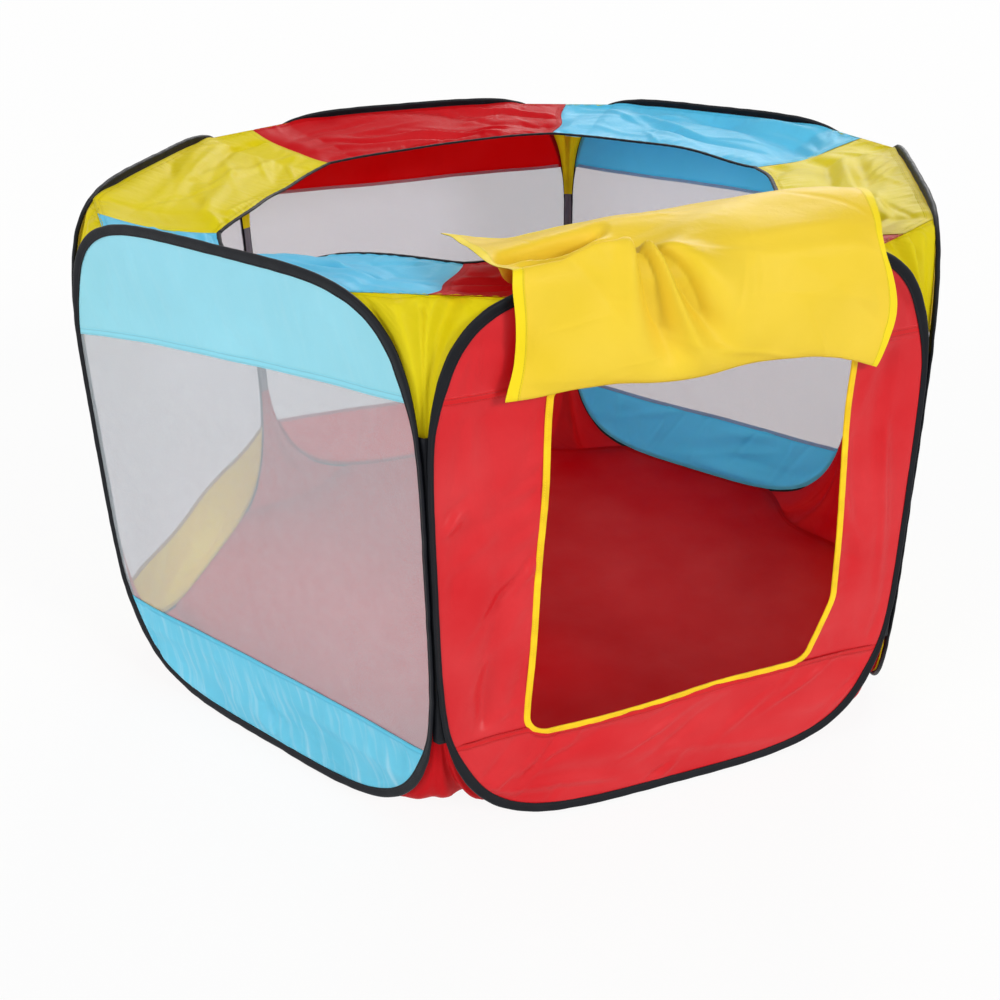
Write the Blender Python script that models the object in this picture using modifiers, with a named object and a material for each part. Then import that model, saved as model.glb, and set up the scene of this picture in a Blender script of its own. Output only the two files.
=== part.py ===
"""Portable playpen: a pop-up hexagonal pen of six fabric panels on sprung wire loops.

Metres, +Z up. The origin is the middle of the floor's underside, on the ground, and the door panel faces -Y.
Panels are built in a local frame: X runs along the panel, Y points into the pen from the panel's inner face,
and Z is up. They are then placed round the hexagon, whose corners are the hinge lines between panels.
"""

import math

import bmesh
import bpy
from mathutils import Matrix, Vector

# Panels and the plan of the pen
PANEL_NAMES = ("door", "right", "back_right", "back", "left", "front_left")
PANEL_SPACING = 0.620
PANEL_HEIGHT = 0.694
TOP_SQUARENESS = 4.7
BOTTOM_SQUARENESS = 4.0
LOOP_STEPS = 36
HINGE_GAP = 0.0003
CLEARANCE = 0.0003

# Sprung wire loop and the ferrule that joins its ends
WIRE_DIAMETER = 0.0025
WIRE_END_GAP = 0.002
FERRULE_LENGTH = 0.030
FERRULE_WALL = 0.00035
FERRULE_SIDES = 10

# Folded tape sleeve sewn round each panel's edge
SLEEVE_THICKNESS = 0.006
SLEEVE_WIDTH = 0.014
SLEEVE_SIDE_WIDTH = 0.0068
SLEEVE_CLOTH = 0.00075
SLEEVE_OUTER_BEVEL = 0.42
SLEEVE_BORE_BEVEL = 0.40
SLEEVE_BORE_REACH = 0.85
SLEEVE_TAPER_START = 0.50
SLEEVE_TAPER_END = 0.75

# Sheets of cloth and netting
SHEET_THICKNESS = 0.001
UPPER_SEAM_HEIGHT = 0.556
LOWER_SEAM_HEIGHT = 0.132
FRONT_LEFT_SEAM_RISE = 0.050

# Door opening and its piping, from the panel's middle and the panel's foot
OPENING_TOP = 0.567
OPENING_TOP_LEFT = -0.165
OPENING_TOP_RIGHT = 0.198
OPENING_BOTTOM_LEFT = (-0.197, 0.133)
OPENING_BOTTOM_RIGHT = (0.180, 0.147)
OPENING_KNEE_RIGHT = (0.209, 0.234)
OPENING_TOP_RADIUS = 0.006
OPENING_FOOT_RADIUS = 0.022
OPENING_KNEE_RADIUS = 0.060
PIPING_WIDTH = 0.009
PIPING_THICKNESS = 0.003

# Door flap, turned up over the frame
FLAP_LEFT = -0.212
FLAP_RIGHT = 0.248
FLAP_STANDOFF = 0.018
FLAP_RIDGE_STANDOFF = 0.008
FLAP_RIDGE_RISE = 0.008
FLAP_REACH = 0.290
FLAP_DROOP = 0.030
FLAP_FLARE = 0.020
FLAP_FRONT_FOLD = 0.006
FLAP_TOP_FOLD = 0.007
FLAP_DROOP_POWER = 2.5
FLAP_BILLOW = 0.018
FLAP_BILLOW_SPREAD = 0.055
FLAP_BILLOW_PLACE = 0.42
FLAP_BILLOW_START = 0.25
FLAP_RIDGE_GAP = 0.0008
FLAP_ROOT_HEIGHT = 0.002
FLAP_FOLD_PITCH = 0.150
FLAP_FOLD_SLANT = 0.550
FLAP_COLUMNS = 16
FLAP_FRONT_ROWS = 6
FLAP_TOP_ROWS = 10

# Visor ring round the top and the elastic rim at its inner edge
VISOR_DEPTH = 0.177
VISOR_DROP = 0.035
VISOR_SAG = 0.006
VISOR_EDGE_DROP = 0.002
VISOR_CORNER_LIFT = 0.002
VISOR_COLUMNS = 8
VISOR_ROWS = 4
MITRE_GAP = 0.0006
MITRE_GAP_POWER = 8
RIM_DIAMETER = 0.005
RIM_SQUARENESS = 0.5

# Gussets between neighbouring panels' rounded corners
GUSSET_INSET = 0.003
GUSSET_COLUMNS = 4
GUSSET_SAG = 0.006
TOP_GUSSET_LOW = 15.0
TOP_GUSSET_HIGH = 65.0
BOTTOM_GUSSET_LOW = -75.0
BOTTOM_GUSSET_HIGH = -15.0
GUSSET_ROW_DEGREES = 10.0

# Floor sheet
FLOOR_THICKNESS = 0.001
FLOOR_EDGE_HALF = 0.170

# Derived sizes
CORNER_COUNT = len(PANEL_NAMES)
TURN = 2 * math.pi / CORNER_COUNT
APOTHEM = PANEL_SPACING / 2 / math.tan(TURN / 2)
HALF_WIDTH = (PANEL_SPACING - HINGE_GAP) / 2
HALF_HEIGHT = PANEL_HEIGHT / 2
PANEL_FOOT = FLOOR_THICKNESS + CLEARANCE
PANEL_MIDDLE = PANEL_FOOT + HALF_HEIGHT
PANEL_TOP = PANEL_FOOT + PANEL_HEIGHT
MID_PLANE = -SLEEVE_THICKNESS / 2
WIRE_INSET = SLEEVE_THICKNESS / 2
FERRULE_RADIUS = WIRE_DIAMETER / 2 + CLEARANCE + FERRULE_WALL
SHEET_INSET = WIRE_INSET + FERRULE_RADIUS + CLEARANCE
LOOP_STEP = 2 * math.pi / LOOP_STEPS
FLAP_HINGE_HEIGHT = PANEL_FOOT + OPENING_TOP + PIPING_WIDTH / 2
FLAP_RIDGE_HEIGHT = PANEL_TOP + FLAP_RIDGE_RISE
RIM_RADIUS = APOTHEM - VISOR_DEPTH
RIM_HEIGHT = PANEL_TOP - VISOR_DROP

COLOURS = {
    "red": (0.72, 0.03, 0.05),
    "yellow": (0.90, 0.72, 0.03),
    "blue": (0.16, 0.58, 0.76),
    "black": (0.012, 0.012, 0.016),
    "net": (0.62, 0.64, 0.66),
    "steel": (0.50, 0.50, 0.52),
}
PANEL_COLOURS = dict(zip(PANEL_NAMES, ("red", "yellow", "blue", "red", "yellow", "blue")))


def clear_scene():
    for obj in list(bpy.data.objects):
        bpy.data.objects.remove(obj, do_unlink=True)


def make_collection(name):
    collection = bpy.data.collections.new(name)
    bpy.context.scene.collection.children.link(collection)
    return collection


def make_material(name, colour, roughness=0.6, metallic=0.0):
    material = bpy.data.materials.new(name)
    material.use_nodes = True
    shader = material.node_tree.nodes["Principled BSDF"]
    shader.inputs["Base Color"].default_value = (*COLOURS[colour], 1.0)
    shader.inputs["Roughness"].default_value = roughness
    shader.inputs["Metallic"].default_value = metallic
    return material


def panel_matrix(index):
    """Local panel frame to world: the middle of the panel's inner face, at ground level."""
    return Matrix.Rotation(TURN * index, 4, "Z") @ Matrix.Translation((0.0, -APOTHEM, 0.0))


def corner(index):
    """Hinge line at the left end of panel index, seen from outside."""
    return panel_matrix(index) @ Vector((-PANEL_SPACING / 2, 0.0, 0.0))


def signed_power(value, exponent):
    return math.copysign(abs(value) ** exponent, value)


def smooth_step(value):
    value = min(max(value, 0.0), 1.0)
    return value * value * (3.0 - 2.0 * value)


def loop_station(angle, inset):
    """Point of the panel's outline, a superellipse, moved square to the outline by inset.

    Returned from the panel's centre. The flats of the faceted outline lie at the full width and height.
    """
    squareness = TOP_SQUARENESS if math.sin(angle) > 0 else BOTTOM_SQUARENESS
    flat = math.cos(LOOP_STEP / 2)
    across = signed_power(math.cos(angle) / flat, 2 / squareness)
    up = signed_power(math.sin(angle) / flat, 2 / squareness)
    slope = Vector((
        signed_power(across, squareness - 1) / HALF_WIDTH,
        signed_power(up, squareness - 1) / HALF_HEIGHT,
    )).normalized()
    return Vector((across * HALF_WIDTH, up * HALF_HEIGHT)) - slope * inset


def loop_angles():
    return [(index + 0.5) * LOOP_STEP for index in range(LOOP_STEPS)]


def panel_outline(inset):
    """The panel's outline as (x, height above ground) points, anticlockwise."""
    points = (loop_station(angle, inset) for angle in loop_angles())
    return [(point.x, PANEL_MIDDLE + point.y) for point in points]


def clip(outline, normal, offset):
    """The part of a polygon where normal . point >= offset."""
    kept = []
    for index, point in enumerate(outline):
        previous = outline[index - 1]
        here = normal[0] * point[0] + normal[1] * point[1] - offset
        before = normal[0] * previous[0] + normal[1] * previous[1] - offset
        if (here >= 0) != (before >= 0):
            share = before / (before - here)
            kept.append((
                previous[0] + share * (point[0] - previous[0]),
                previous[1] + share * (point[1] - previous[1]),
            ))
        if here >= 0:
            kept.append(point)
    return kept


def above(outline, height, slope=0.0, gap=CLEARANCE / 2):
    return clip(outline, (-slope, 1.0), height + gap)


def below(outline, height, slope=0.0, gap=CLEARANCE / 2):
    return clip(outline, (slope, -1.0), -height + gap)


def rounded(points, radii, steps=5):
    """A polygon whose corners are arcs of the given radii."""
    outline = []
    for index, point in enumerate(points):
        here = Vector(point)
        back = (Vector(points[index - 1]) - here).normalized()
        ahead = (Vector(points[(index + 1) % len(points)]) - here).normalized()
        half = back.angle(ahead) / 2
        centre = here + (back + ahead).normalized() * (radii[index] / math.sin(half))
        start = here + back * (radii[index] / math.tan(half)) - centre
        turn = (math.pi - 2 * half) * (1 if back.cross(ahead) < 0 else -1)
        for step in range(steps + 1):
            arm = start.copy()
            arm.rotate(Matrix.Rotation(turn * step / steps, 2))
            outline.append(tuple(centre + arm))
    return outline


def link(obj, collection, material=None, parent=None, panel=None):
    collection.objects.link(obj)
    if material:
        obj.data.materials.append(material)
    if panel is not None:
        obj.matrix_world = panel_matrix(panel)
    if parent:
        obj.parent = parent
        obj.matrix_parent_inverse = parent.matrix_world.inverted()
    return obj


def add_plate(name, outlines, thickness, mid_plane):
    """A flat sheet standing in the panel's plane: a filled 2D curve, made a welded mesh."""
    curve = bpy.data.curves.new(name, "CURVE")
    curve.dimensions = "2D"
    curve.fill_mode = "BOTH"
    curve.extrude = thickness / 2
    for outline in outlines:
        spline = curve.splines.new("POLY")
        spline.points.add(len(outline) - 1)
        for point, (across, up) in zip(spline.points, outline):
            point.co = (across, up, 0.0, 1.0)
        spline.use_cyclic_u = True
    upright = Matrix.Translation((0.0, mid_plane, 0.0)) @ Matrix.Rotation(math.pi / 2, 4, "X")
    return mesh_from_curve(name, curve, upright)


def mesh_from_curve(name, curve, transform):
    guide = bpy.data.objects.new(name + "_guide", curve)
    bpy.context.scene.collection.objects.link(guide)
    bpy.context.view_layer.update()
    evaluated = guide.evaluated_get(bpy.context.evaluated_depsgraph_get())
    mesh = bpy.data.meshes.new_from_object(evaluated)
    bpy.data.objects.remove(guide, do_unlink=True)
    shape = bmesh.new()
    shape.from_mesh(mesh)
    bmesh.ops.remove_doubles(shape, verts=shape.verts, dist=0.00001)
    bmesh.ops.transform(shape, matrix=transform, verts=shape.verts)
    shape.to_mesh(mesh)
    shape.free()
    mesh.name = name
    return bpy.data.objects.new(name, mesh)


def add_tube(name, path, diameter, cyclic=False, resolution=1):
    curve = bpy.data.curves.new(name, "CURVE")
    curve.dimensions = "3D"
    curve.bevel_depth = diameter / 2
    curve.bevel_resolution = resolution
    curve.use_fill_caps = not cyclic
    spline = curve.splines.new("POLY")
    spline.points.add(len(path) - 1)
    for point, place in zip(spline.points, path):
        point.co = (*place, 1.0)
    spline.use_cyclic_u = cyclic
    return bpy.data.objects.new(name, curve)


def add_surface(name, columns, rows, place, thickness=SHEET_THICKNESS):
    """A sheet with Solidify: place(across, along) gives each point, with both running from 0 to 1."""
    shape = bmesh.new()
    bmesh.ops.create_grid(shape, x_segments=columns, y_segments=rows, size=0.5)
    for vert in shape.verts:
        vert.co = place(vert.co.x + 0.5, vert.co.y + 0.5)
    mesh = bpy.data.meshes.new(name)
    shape.to_mesh(mesh)
    shape.free()
    mesh.shade_smooth()
    obj = bpy.data.objects.new(name, mesh)
    solid = obj.modifiers.new("thickness", "SOLIDIFY")
    solid.thickness = thickness
    solid.offset = 0.0
    return obj


def add_boolean(obj, tool, operation):
    boolean = obj.modifiers.new(operation.lower(), "BOOLEAN")
    boolean.operation = operation
    boolean.solver = "EXACT"
    boolean.object = tool


def hide_cutter(tool, collection):
    collection.objects.link(tool)
    tool.hide_render = True
    tool.display_type = "WIRE"


def sleeve_width(rise):
    """The tape narrows along the upright seams, where two sleeves are sewn side by side."""
    share = (rise - SLEEVE_TAPER_START) / (SLEEVE_TAPER_END - SLEEVE_TAPER_START)
    return SLEEVE_SIDE_WIDTH + (SLEEVE_WIDTH - SLEEVE_SIDE_WIDTH) * smooth_step(share)


def sleeve_section(width):
    """Folded tape round a wire, open at its mouth: (inset, offset from the middle) points."""
    half = SLEEVE_THICKNESS / 2
    bore = half - SLEEVE_CLOTH
    mouth = SHEET_THICKNESS / 2 + CLEARANCE
    bevel = SLEEVE_OUTER_BEVEL * half
    outer = [(0.0, bevel), (bevel, half), (width, mouth + SLEEVE_CLOTH)]
    inner = [(width, mouth), (SLEEVE_BORE_REACH * half, bore), (SLEEVE_CLOTH, SLEEVE_BORE_BEVEL * bore)]
    half_section = outer + inner
    return half_section + [(inset, -offset) for inset, offset in reversed(half_section)]


def add_sleeve(name):
    """A loft of the folded tape's section round the panel's outline."""
    verts = []
    for angle in loop_angles():
        rise = abs(loop_station(angle, 0.0).y) / HALF_HEIGHT
        for inset, offset in sleeve_section(sleeve_width(rise)):
            point = loop_station(angle, inset)
            verts.append((point.x, MID_PLANE + offset, PANEL_MIDDLE + point.y))
    ring = len(sleeve_section(SLEEVE_WIDTH))
    faces = []
    for step in range(LOOP_STEPS):
        following = (step + 1) % LOOP_STEPS
        for side in range(ring):
            nearby = (side + 1) % ring
            faces.append((
                step * ring + side,
                step * ring + nearby,
                following * ring + nearby,
                following * ring + side,
            ))
    mesh = bpy.data.meshes.new(name)
    mesh.from_pydata(verts, [], faces)
    shape = bmesh.new()
    shape.from_mesh(mesh)
    bmesh.ops.recalc_face_normals(shape, faces=shape.faces)
    shape.to_mesh(mesh)
    shape.free()
    return bpy.data.objects.new(name, mesh)


def add_wire(name):
    """One hoop of sprung wire, open at the middle of its foot, where the ferrule joins its ends."""
    path = [loop_station(angle, WIRE_INSET) for angle in loop_angles()]
    first = (3 * LOOP_STEPS) // 4
    path = path[first:] + path[:first]
    foot = path[0].y
    ends = (Vector((WIRE_END_GAP / 2, foot)), Vector((-WIRE_END_GAP / 2, foot)))
    path = [ends[0], *path, ends[1]]
    return add_tube(name, [(point.x, MID_PLANE, PANEL_MIDDLE + point.y) for point in path], WIRE_DIAMETER)


def add_ferrule(name):
    bore = WIRE_DIAMETER / 2 + CLEARANCE
    foot = PANEL_MIDDLE + loop_station(loop_angles()[(3 * LOOP_STEPS) // 4], WIRE_INSET).y
    profile = [(bore, -0.5), (bore, 0.5), (bore + FERRULE_WALL, 0.5), (bore + FERRULE_WALL, -0.5)]
    mesh = bpy.data.meshes.new(name)
    verts = [(0.0, radius, along * FERRULE_LENGTH) for radius, along in profile]
    mesh.from_pydata(verts, [(0, 1), (1, 2), (2, 3), (3, 0)], [])
    turn = Matrix.Translation((0.0, MID_PLANE, foot)) @ Matrix.Rotation(math.pi / 2, 4, "Y")
    obj = bpy.data.objects.new(name, mesh)
    screw = obj.modifiers.new("turned", "SCREW")
    screw.steps = FERRULE_SIDES
    screw.render_steps = FERRULE_SIDES
    screw.use_merge_vertices = True
    screw.merge_threshold = 0.00001
    return obj, turn


def seam_heights(name):
    """Height and slope of the seams under the upper band and over the lower band."""
    if name == "door":
        low = OPENING_BOTTOM_RIGHT[1] - PIPING_WIDTH / 2
        return (FLAP_HINGE_HEIGHT, 0.0), (PANEL_FOOT + low, 0.0)
    if name == "front_left":
        return (UPPER_SEAM_HEIGHT, FRONT_LEFT_SEAM_RISE / PANEL_SPACING), (LOWER_SEAM_HEIGHT, 0.0)
    return (UPPER_SEAM_HEIGHT, 0.0), (LOWER_SEAM_HEIGHT, 0.0)


def opening_outline(margin):
    """The door opening, grown by margin, as (x, height above ground) points."""
    bottom_left = (OPENING_BOTTOM_LEFT[0] - margin, OPENING_BOTTOM_LEFT[1] - margin)
    bottom_right = (OPENING_BOTTOM_RIGHT[0] + margin / 2, OPENING_BOTTOM_RIGHT[1] - margin)
    knee = (OPENING_KNEE_RIGHT[0] + margin, OPENING_KNEE_RIGHT[1] - margin / 2)
    top_right = (OPENING_TOP_RIGHT + margin, OPENING_TOP + margin)
    top_left = (OPENING_TOP_LEFT - margin, OPENING_TOP + margin)
    points = [bottom_left, bottom_right, knee, top_right, top_left]
    foot = OPENING_FOOT_RADIUS + margin
    radii = [foot, foot, OPENING_KNEE_RADIUS + margin, OPENING_TOP_RADIUS, OPENING_TOP_RADIUS]
    return [(across, PANEL_FOOT + up) for across, up in rounded(points, radii)]


def ridge_point(across):
    return Vector((across, -SLEEVE_THICKNESS / 2 - FLAP_RIDGE_STANDOFF, FLAP_RIDGE_HEIGHT))


def flap_wave(across, along):
    """Slanting folds that run from the sewn edge towards the free corner."""
    return math.sin(2 * math.pi * (across - FLAP_FOLD_SLANT * along) / FLAP_FOLD_PITCH)


def flap_front_point(across, along):
    """Straight from the sewn edge to the ridge, with folds that die out at both."""
    x = FLAP_LEFT + (FLAP_RIGHT - FLAP_LEFT) * across
    foot = Vector((x, -FLAP_STANDOFF, FLAP_HINGE_HEIGHT))
    rise = ridge_point(x) - foot
    share = along * (1.0 - FLAP_RIDGE_GAP / rise.length)
    out = Vector((0.0, -rise.z, rise.y)).normalized()
    fold = FLAP_FRONT_FOLD * math.sin(math.pi * along) * flap_wave(x, along * rise.length)
    return foot + rise * share + out * fold


def flap_top_point(across, along):
    """From the ridge inwards, drooping to the free edge, with folds and one billow near the right side."""
    inward = FLAP_RIDGE_GAP + (FLAP_REACH - FLAP_RIDGE_GAP) * along
    x = FLAP_LEFT + (FLAP_RIGHT + FLAP_FLARE * along - FLAP_LEFT) * across
    sideways = x - (FLAP_RIGHT - FLAP_BILLOW_SPREAD)
    lengthways = inward - FLAP_BILLOW_PLACE * FLAP_REACH
    spread = math.hypot(sideways, lengthways) / FLAP_BILLOW_SPREAD
    start = smooth_step(inward / (FLAP_BILLOW_START * FLAP_REACH))
    billow = FLAP_BILLOW * start * math.exp(-spread * spread / 2)
    fold = FLAP_TOP_FOLD * smooth_step(along) * flap_wave(x, inward)
    droop = FLAP_DROOP * along**FLAP_DROOP_POWER
    return ridge_point(x) + Vector((0.0, inward, billow + fold - droop))


def add_flap_root(name):
    """The sewn edge of the flap, standing out from the piping to the flap's hinge line."""
    half_sheet = SHEET_THICKNESS / 2
    low = MID_PLANE - PIPING_THICKNESS / 3
    high = -FLAP_STANDOFF + half_sheet + CLEARANCE
    shape = bmesh.new()
    bmesh.ops.create_cube(shape, size=1.0)
    size = (FLAP_RIGHT - FLAP_LEFT, abs(high - low), FLAP_ROOT_HEIGHT)
    middle = ((FLAP_RIGHT + FLAP_LEFT) / 2, (high + low) / 2, FLAP_HINGE_HEIGHT)
    bmesh.ops.scale(shape, vec=size, verts=shape.verts)
    bmesh.ops.translate(shape, vec=middle, verts=shape.verts)
    mesh = bpy.data.meshes.new(name)
    shape.to_mesh(mesh)
    shape.free()
    return bpy.data.objects.new(name, mesh)


def contact_half():
    """Half the length along which a visor section is sewn to its panel's top."""
    return loop_station(math.radians(TOP_GUSSET_HIGH), GUSSET_INSET).x


def visor_outer_point(share, panel_top_drop):
    """Outer edge of a visor section: along the panel's top, then across the corner over the gusset."""
    contact = contact_half()
    slope = math.tan(TURN / 2)
    seated = CLEARANCE + VISOR_CORNER_LIFT
    mitre = PANEL_SPACING / 2 * math.tan(TURN)
    x = share * (mitre + contact * slope - seated) / (math.tan(TURN) + slope)
    reach = min(abs(x), contact)
    bulge = (1.0 - (reach / HALF_WIDTH) ** TOP_SQUARENESS) ** (1 / TOP_SQUARENESS)
    z = PANEL_MIDDLE + HALF_HEIGHT * bulge - panel_top_drop
    past = max(abs(x) - contact, 0.0)
    seat = CLEARANCE + VISOR_CORNER_LIFT * smooth_step(abs(x) / contact)
    return Vector((x, past * slope + seat, z))


def rim_point(share, outset=0.0):
    """The rim is a rounded hexagon: radius / cos(angle) ** squareness about the pen's axis."""
    angle = share * TURN / 2
    radius = RIM_RADIUS / math.cos(angle) ** RIM_SQUARENESS + outset
    return Vector((radius * math.sin(angle), APOTHEM - radius * math.cos(angle), RIM_HEIGHT))


def visor_point(across, along):
    """Straight lines from the panel's top to the rim, sagging between them."""
    share = 2.0 * across - 1.0
    outer = visor_outer_point(share, VISOR_EDGE_DROP)
    inner = rim_point(share, RIM_DIAMETER / 2 + CLEARANCE)
    place = outer.lerp(inner, along)
    place.z -= VISOR_SAG * math.sin(math.pi * along)
    place.x -= math.copysign(MITRE_GAP / 2, share) * abs(share) ** MITRE_GAP_POWER / math.cos(TURN / 2)
    return place


def gusset_point(low, high, index):
    """Ruled surface between the facing edges of two neighbouring panels, sagging into the pen."""
    left_panel = panel_matrix(index - 1)
    right_panel = panel_matrix(index)
    seat = CLEARANCE + SHEET_THICKNESS / 2
    inward = -corner(index).normalized()

    def place(across, along):
        point = loop_station(math.radians(low + (high - low) * along), GUSSET_INSET)
        height = PANEL_MIDDLE + point.y
        left = left_panel @ Vector((point.x, seat, height))
        right = right_panel @ Vector((-point.x, seat, height))
        sag = GUSSET_SAG * math.sin(math.pi * across) * math.sin(math.pi * along)
        return left.lerp(right, across) + inward * sag

    return place


def gusset_rows(low, high):
    return round((high - low) / GUSSET_ROW_DEGREES)


def build_frames(collection, pivots):
    steel = make_material("spring_steel", "steel", 0.35, 1.0)
    tape = make_material("edge_tape", "black", 0.75)
    for index, name in enumerate(PANEL_NAMES):
        pivot = pivots[name]
        link(add_wire("wire_" + name), collection, steel, pivot, index)
        ferrule, turn = add_ferrule("ferrule_" + name)
        link(ferrule, collection, steel, None, index)
        ferrule.matrix_world = panel_matrix(index) @ turn
        ferrule.parent = pivot
        ferrule.matrix_parent_inverse = pivot.matrix_world.inverted()
        link(add_sleeve("sleeve_" + name), collection, tape, pivot, index)


def build_sheets(collection, cutters, pivots):
    outline = panel_outline(SHEET_INSET)
    net = make_material("netting", "net", 0.8)
    hole = add_plate("door_cutter", [opening_outline(PIPING_WIDTH + CLEARANCE)], SLEEVE_WIDTH, MID_PLANE)
    hide_cutter(hole, cutters)
    hole.matrix_world = panel_matrix(0)
    for index, name in enumerate(PANEL_NAMES):
        cloth = make_material("cloth_" + name, PANEL_COLOURS[name], 0.45)
        upper, lower = seam_heights(name)
        middle = below(above(outline, *lower), *upper)
        pieces = {"upper_band_" + name: above(outline, *upper), "lower_band_" + name: below(outline, *lower)}
        if name == "door":
            pieces["door_side_left"] = clip(middle, (-1.0, 0.0), 0.0)
            pieces["door_side_right"] = clip(middle, (1.0, 0.0), 0.0)
        else:
            pieces["net_" + name] = middle
        for piece, points in pieces.items():
            sheet = add_plate(piece, [points], SHEET_THICKNESS, MID_PLANE)
            link(sheet, collection, net if piece.startswith("net_") else cloth, pivots[name], index)
            if name == "door":
                add_boolean(sheet, hole, "DIFFERENCE")


def build_door_trim(collection, cutters, pivots):
    yellow = make_material("yellow_trim", "yellow", 0.5)
    ring = [opening_outline(PIPING_WIDTH), opening_outline(0.0)]
    piping = add_plate("door_piping", ring, PIPING_THICKNESS, MID_PLANE)
    link(piping, collection, yellow, pivots["door"], 0)
    root = add_flap_root("flap_root_guide")
    hide_cutter(root, cutters)
    root.matrix_world = panel_matrix(0)
    add_boolean(piping, root, "UNION")
    cloth = make_material("yellow_cloth", "yellow", 0.45)
    front = add_surface("flap_front", FLAP_COLUMNS, FLAP_FRONT_ROWS, flap_front_point)
    link(front, collection, cloth, pivots["flap_front"], 0)
    top = add_surface("flap_top", FLAP_COLUMNS, FLAP_TOP_ROWS, flap_top_point)
    link(top, collection, cloth, pivots["flap_top"], 0)


def build_visor(collection, pivots):
    for index, name in enumerate(PANEL_NAMES):
        cloth = make_material("visor_cloth_" + name, PANEL_COLOURS[name], 0.45)
        section = add_surface("visor_" + name, VISOR_COLUMNS, VISOR_ROWS, visor_point)
        link(section, collection, cloth, pivots[name], index)
    path = []
    for index in range(CORNER_COUNT):
        for column in range(VISOR_COLUMNS):
            path.append(panel_matrix(index) @ rim_point(2.0 * column / VISOR_COLUMNS - 1.0))
    rim = add_tube("visor_rim", path, RIM_DIAMETER, cyclic=True)
    link(rim, collection, make_material("rim_elastic", "black", 0.8), pivots["door"])


def build_gussets(collection, pivots):
    top = make_material("gusset_cloth_top", "yellow", 0.45)
    bottom = make_material("gusset_cloth_bottom", "red", 0.45)
    rows = (
        ("top_gusset_", top, TOP_GUSSET_LOW, TOP_GUSSET_HIGH),
        ("bottom_gusset_", bottom, BOTTOM_GUSSET_LOW, BOTTOM_GUSSET_HIGH),
    )
    carriers = ("door", "door", "right", "back", "left", "front_left")
    for index in range(CORNER_COUNT):
        for prefix, cloth, low, high in rows:
            name = f"{prefix}{index + 1}"
            sheet = add_surface(name, GUSSET_COLUMNS, gusset_rows(low, high), gusset_point(low, high, index))
            link(sheet, collection, cloth, pivots[carriers[index]])


def build_floor(collection, pivots):
    outline = []
    for index in range(CORNER_COUNT):
        for side in (-1, 1):
            outline.append(panel_matrix(index) @ Vector((side * FLOOR_EDGE_HALF, MID_PLANE, 0.0)))
    curve = bpy.data.curves.new("floor", "CURVE")
    curve.dimensions = "2D"
    curve.fill_mode = "BOTH"
    curve.extrude = FLOOR_THICKNESS / 2
    spline = curve.splines.new("POLY")
    spline.points.add(len(outline) - 1)
    for point, place in zip(spline.points, outline):
        point.co = (place.x, place.y, 0.0, 1.0)
    spline.use_cyclic_u = True
    floor = mesh_from_curve("floor", curve, Matrix.Translation((0.0, 0.0, FLOOR_THICKNESS / 2)))
    link(floor, collection, make_material("floor_cloth", "red", 0.5), pivots["door"])


def make_pivots(collection):
    """Empties on the hinge lines: each panel turns about the corner that joins it to its carrier."""
    places = {
        "door": Vector((0.0, 0.0, 0.0)),
        "right": corner(1),
        "back_right": corner(2),
        "back": corner(4),
        "left": corner(5),
        "front_left": corner(0),
        "flap_front": panel_matrix(0) @ Vector((0.0, -FLAP_STANDOFF, FLAP_HINGE_HEIGHT)),
        "flap_top": panel_matrix(0) @ ridge_point(0.0),
    }
    carriers = {
        "right": "door",
        "front_left": "door",
        "back_right": "right",
        "left": "front_left",
        "back": "left",
        "flap_front": "door",
        "flap_top": "flap_front",
    }
    pivots = {}
    for name, place in places.items():
        pivot = bpy.data.objects.new("pivot_" + name, None)
        pivot.empty_display_size = 0.05
        pivot.location = place
        collection.objects.link(pivot)
        pivots[name] = pivot
    bpy.context.view_layer.update()
    for name, carrier in carriers.items():
        pivots[name].parent = pivots[carrier]
        pivots[name].matrix_parent_inverse = pivots[carrier].matrix_world.inverted()
    bpy.context.view_layer.update()
    return pivots


def main():
    clear_scene()
    parts = make_collection("portable_playpen")
    cutters = make_collection("cutters")
    pivots = make_pivots(parts)
    build_frames(parts, pivots)
    build_sheets(parts, cutters, pivots)
    build_door_trim(parts, cutters, pivots)
    build_visor(parts, pivots)
    build_gussets(parts, pivots)
    build_floor(parts, pivots)


main()
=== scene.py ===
import math

import bmesh
import bpy
import numpy as np
from bpy.props import FloatProperty, FloatVectorProperty, PointerProperty
from mathutils import Matrix


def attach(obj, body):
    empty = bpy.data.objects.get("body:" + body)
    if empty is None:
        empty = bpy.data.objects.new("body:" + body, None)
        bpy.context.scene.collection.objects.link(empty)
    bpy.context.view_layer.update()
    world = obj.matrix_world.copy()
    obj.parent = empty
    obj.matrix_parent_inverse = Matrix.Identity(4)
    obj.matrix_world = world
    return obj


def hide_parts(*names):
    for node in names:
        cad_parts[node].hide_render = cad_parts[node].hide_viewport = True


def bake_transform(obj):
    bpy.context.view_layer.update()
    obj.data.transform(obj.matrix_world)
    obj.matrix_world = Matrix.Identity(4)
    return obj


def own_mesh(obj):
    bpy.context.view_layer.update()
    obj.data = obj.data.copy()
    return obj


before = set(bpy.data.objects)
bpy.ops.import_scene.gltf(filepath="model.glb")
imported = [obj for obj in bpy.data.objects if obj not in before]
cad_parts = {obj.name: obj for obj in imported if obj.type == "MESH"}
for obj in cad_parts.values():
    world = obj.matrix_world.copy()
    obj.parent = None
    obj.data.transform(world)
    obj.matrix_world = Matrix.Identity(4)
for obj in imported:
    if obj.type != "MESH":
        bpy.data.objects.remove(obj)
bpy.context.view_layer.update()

bl_info = {
    "name": "Portable Playpen",
    "version": (1, 0, 0),
    "blender": (4, 5, 0),
    "location": "View3D > Sidebar > Playpen",
    "description": "Cloth, netting, tape and stage for a pop-up six-panel playpen",
    "category": "Object",
}

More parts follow.
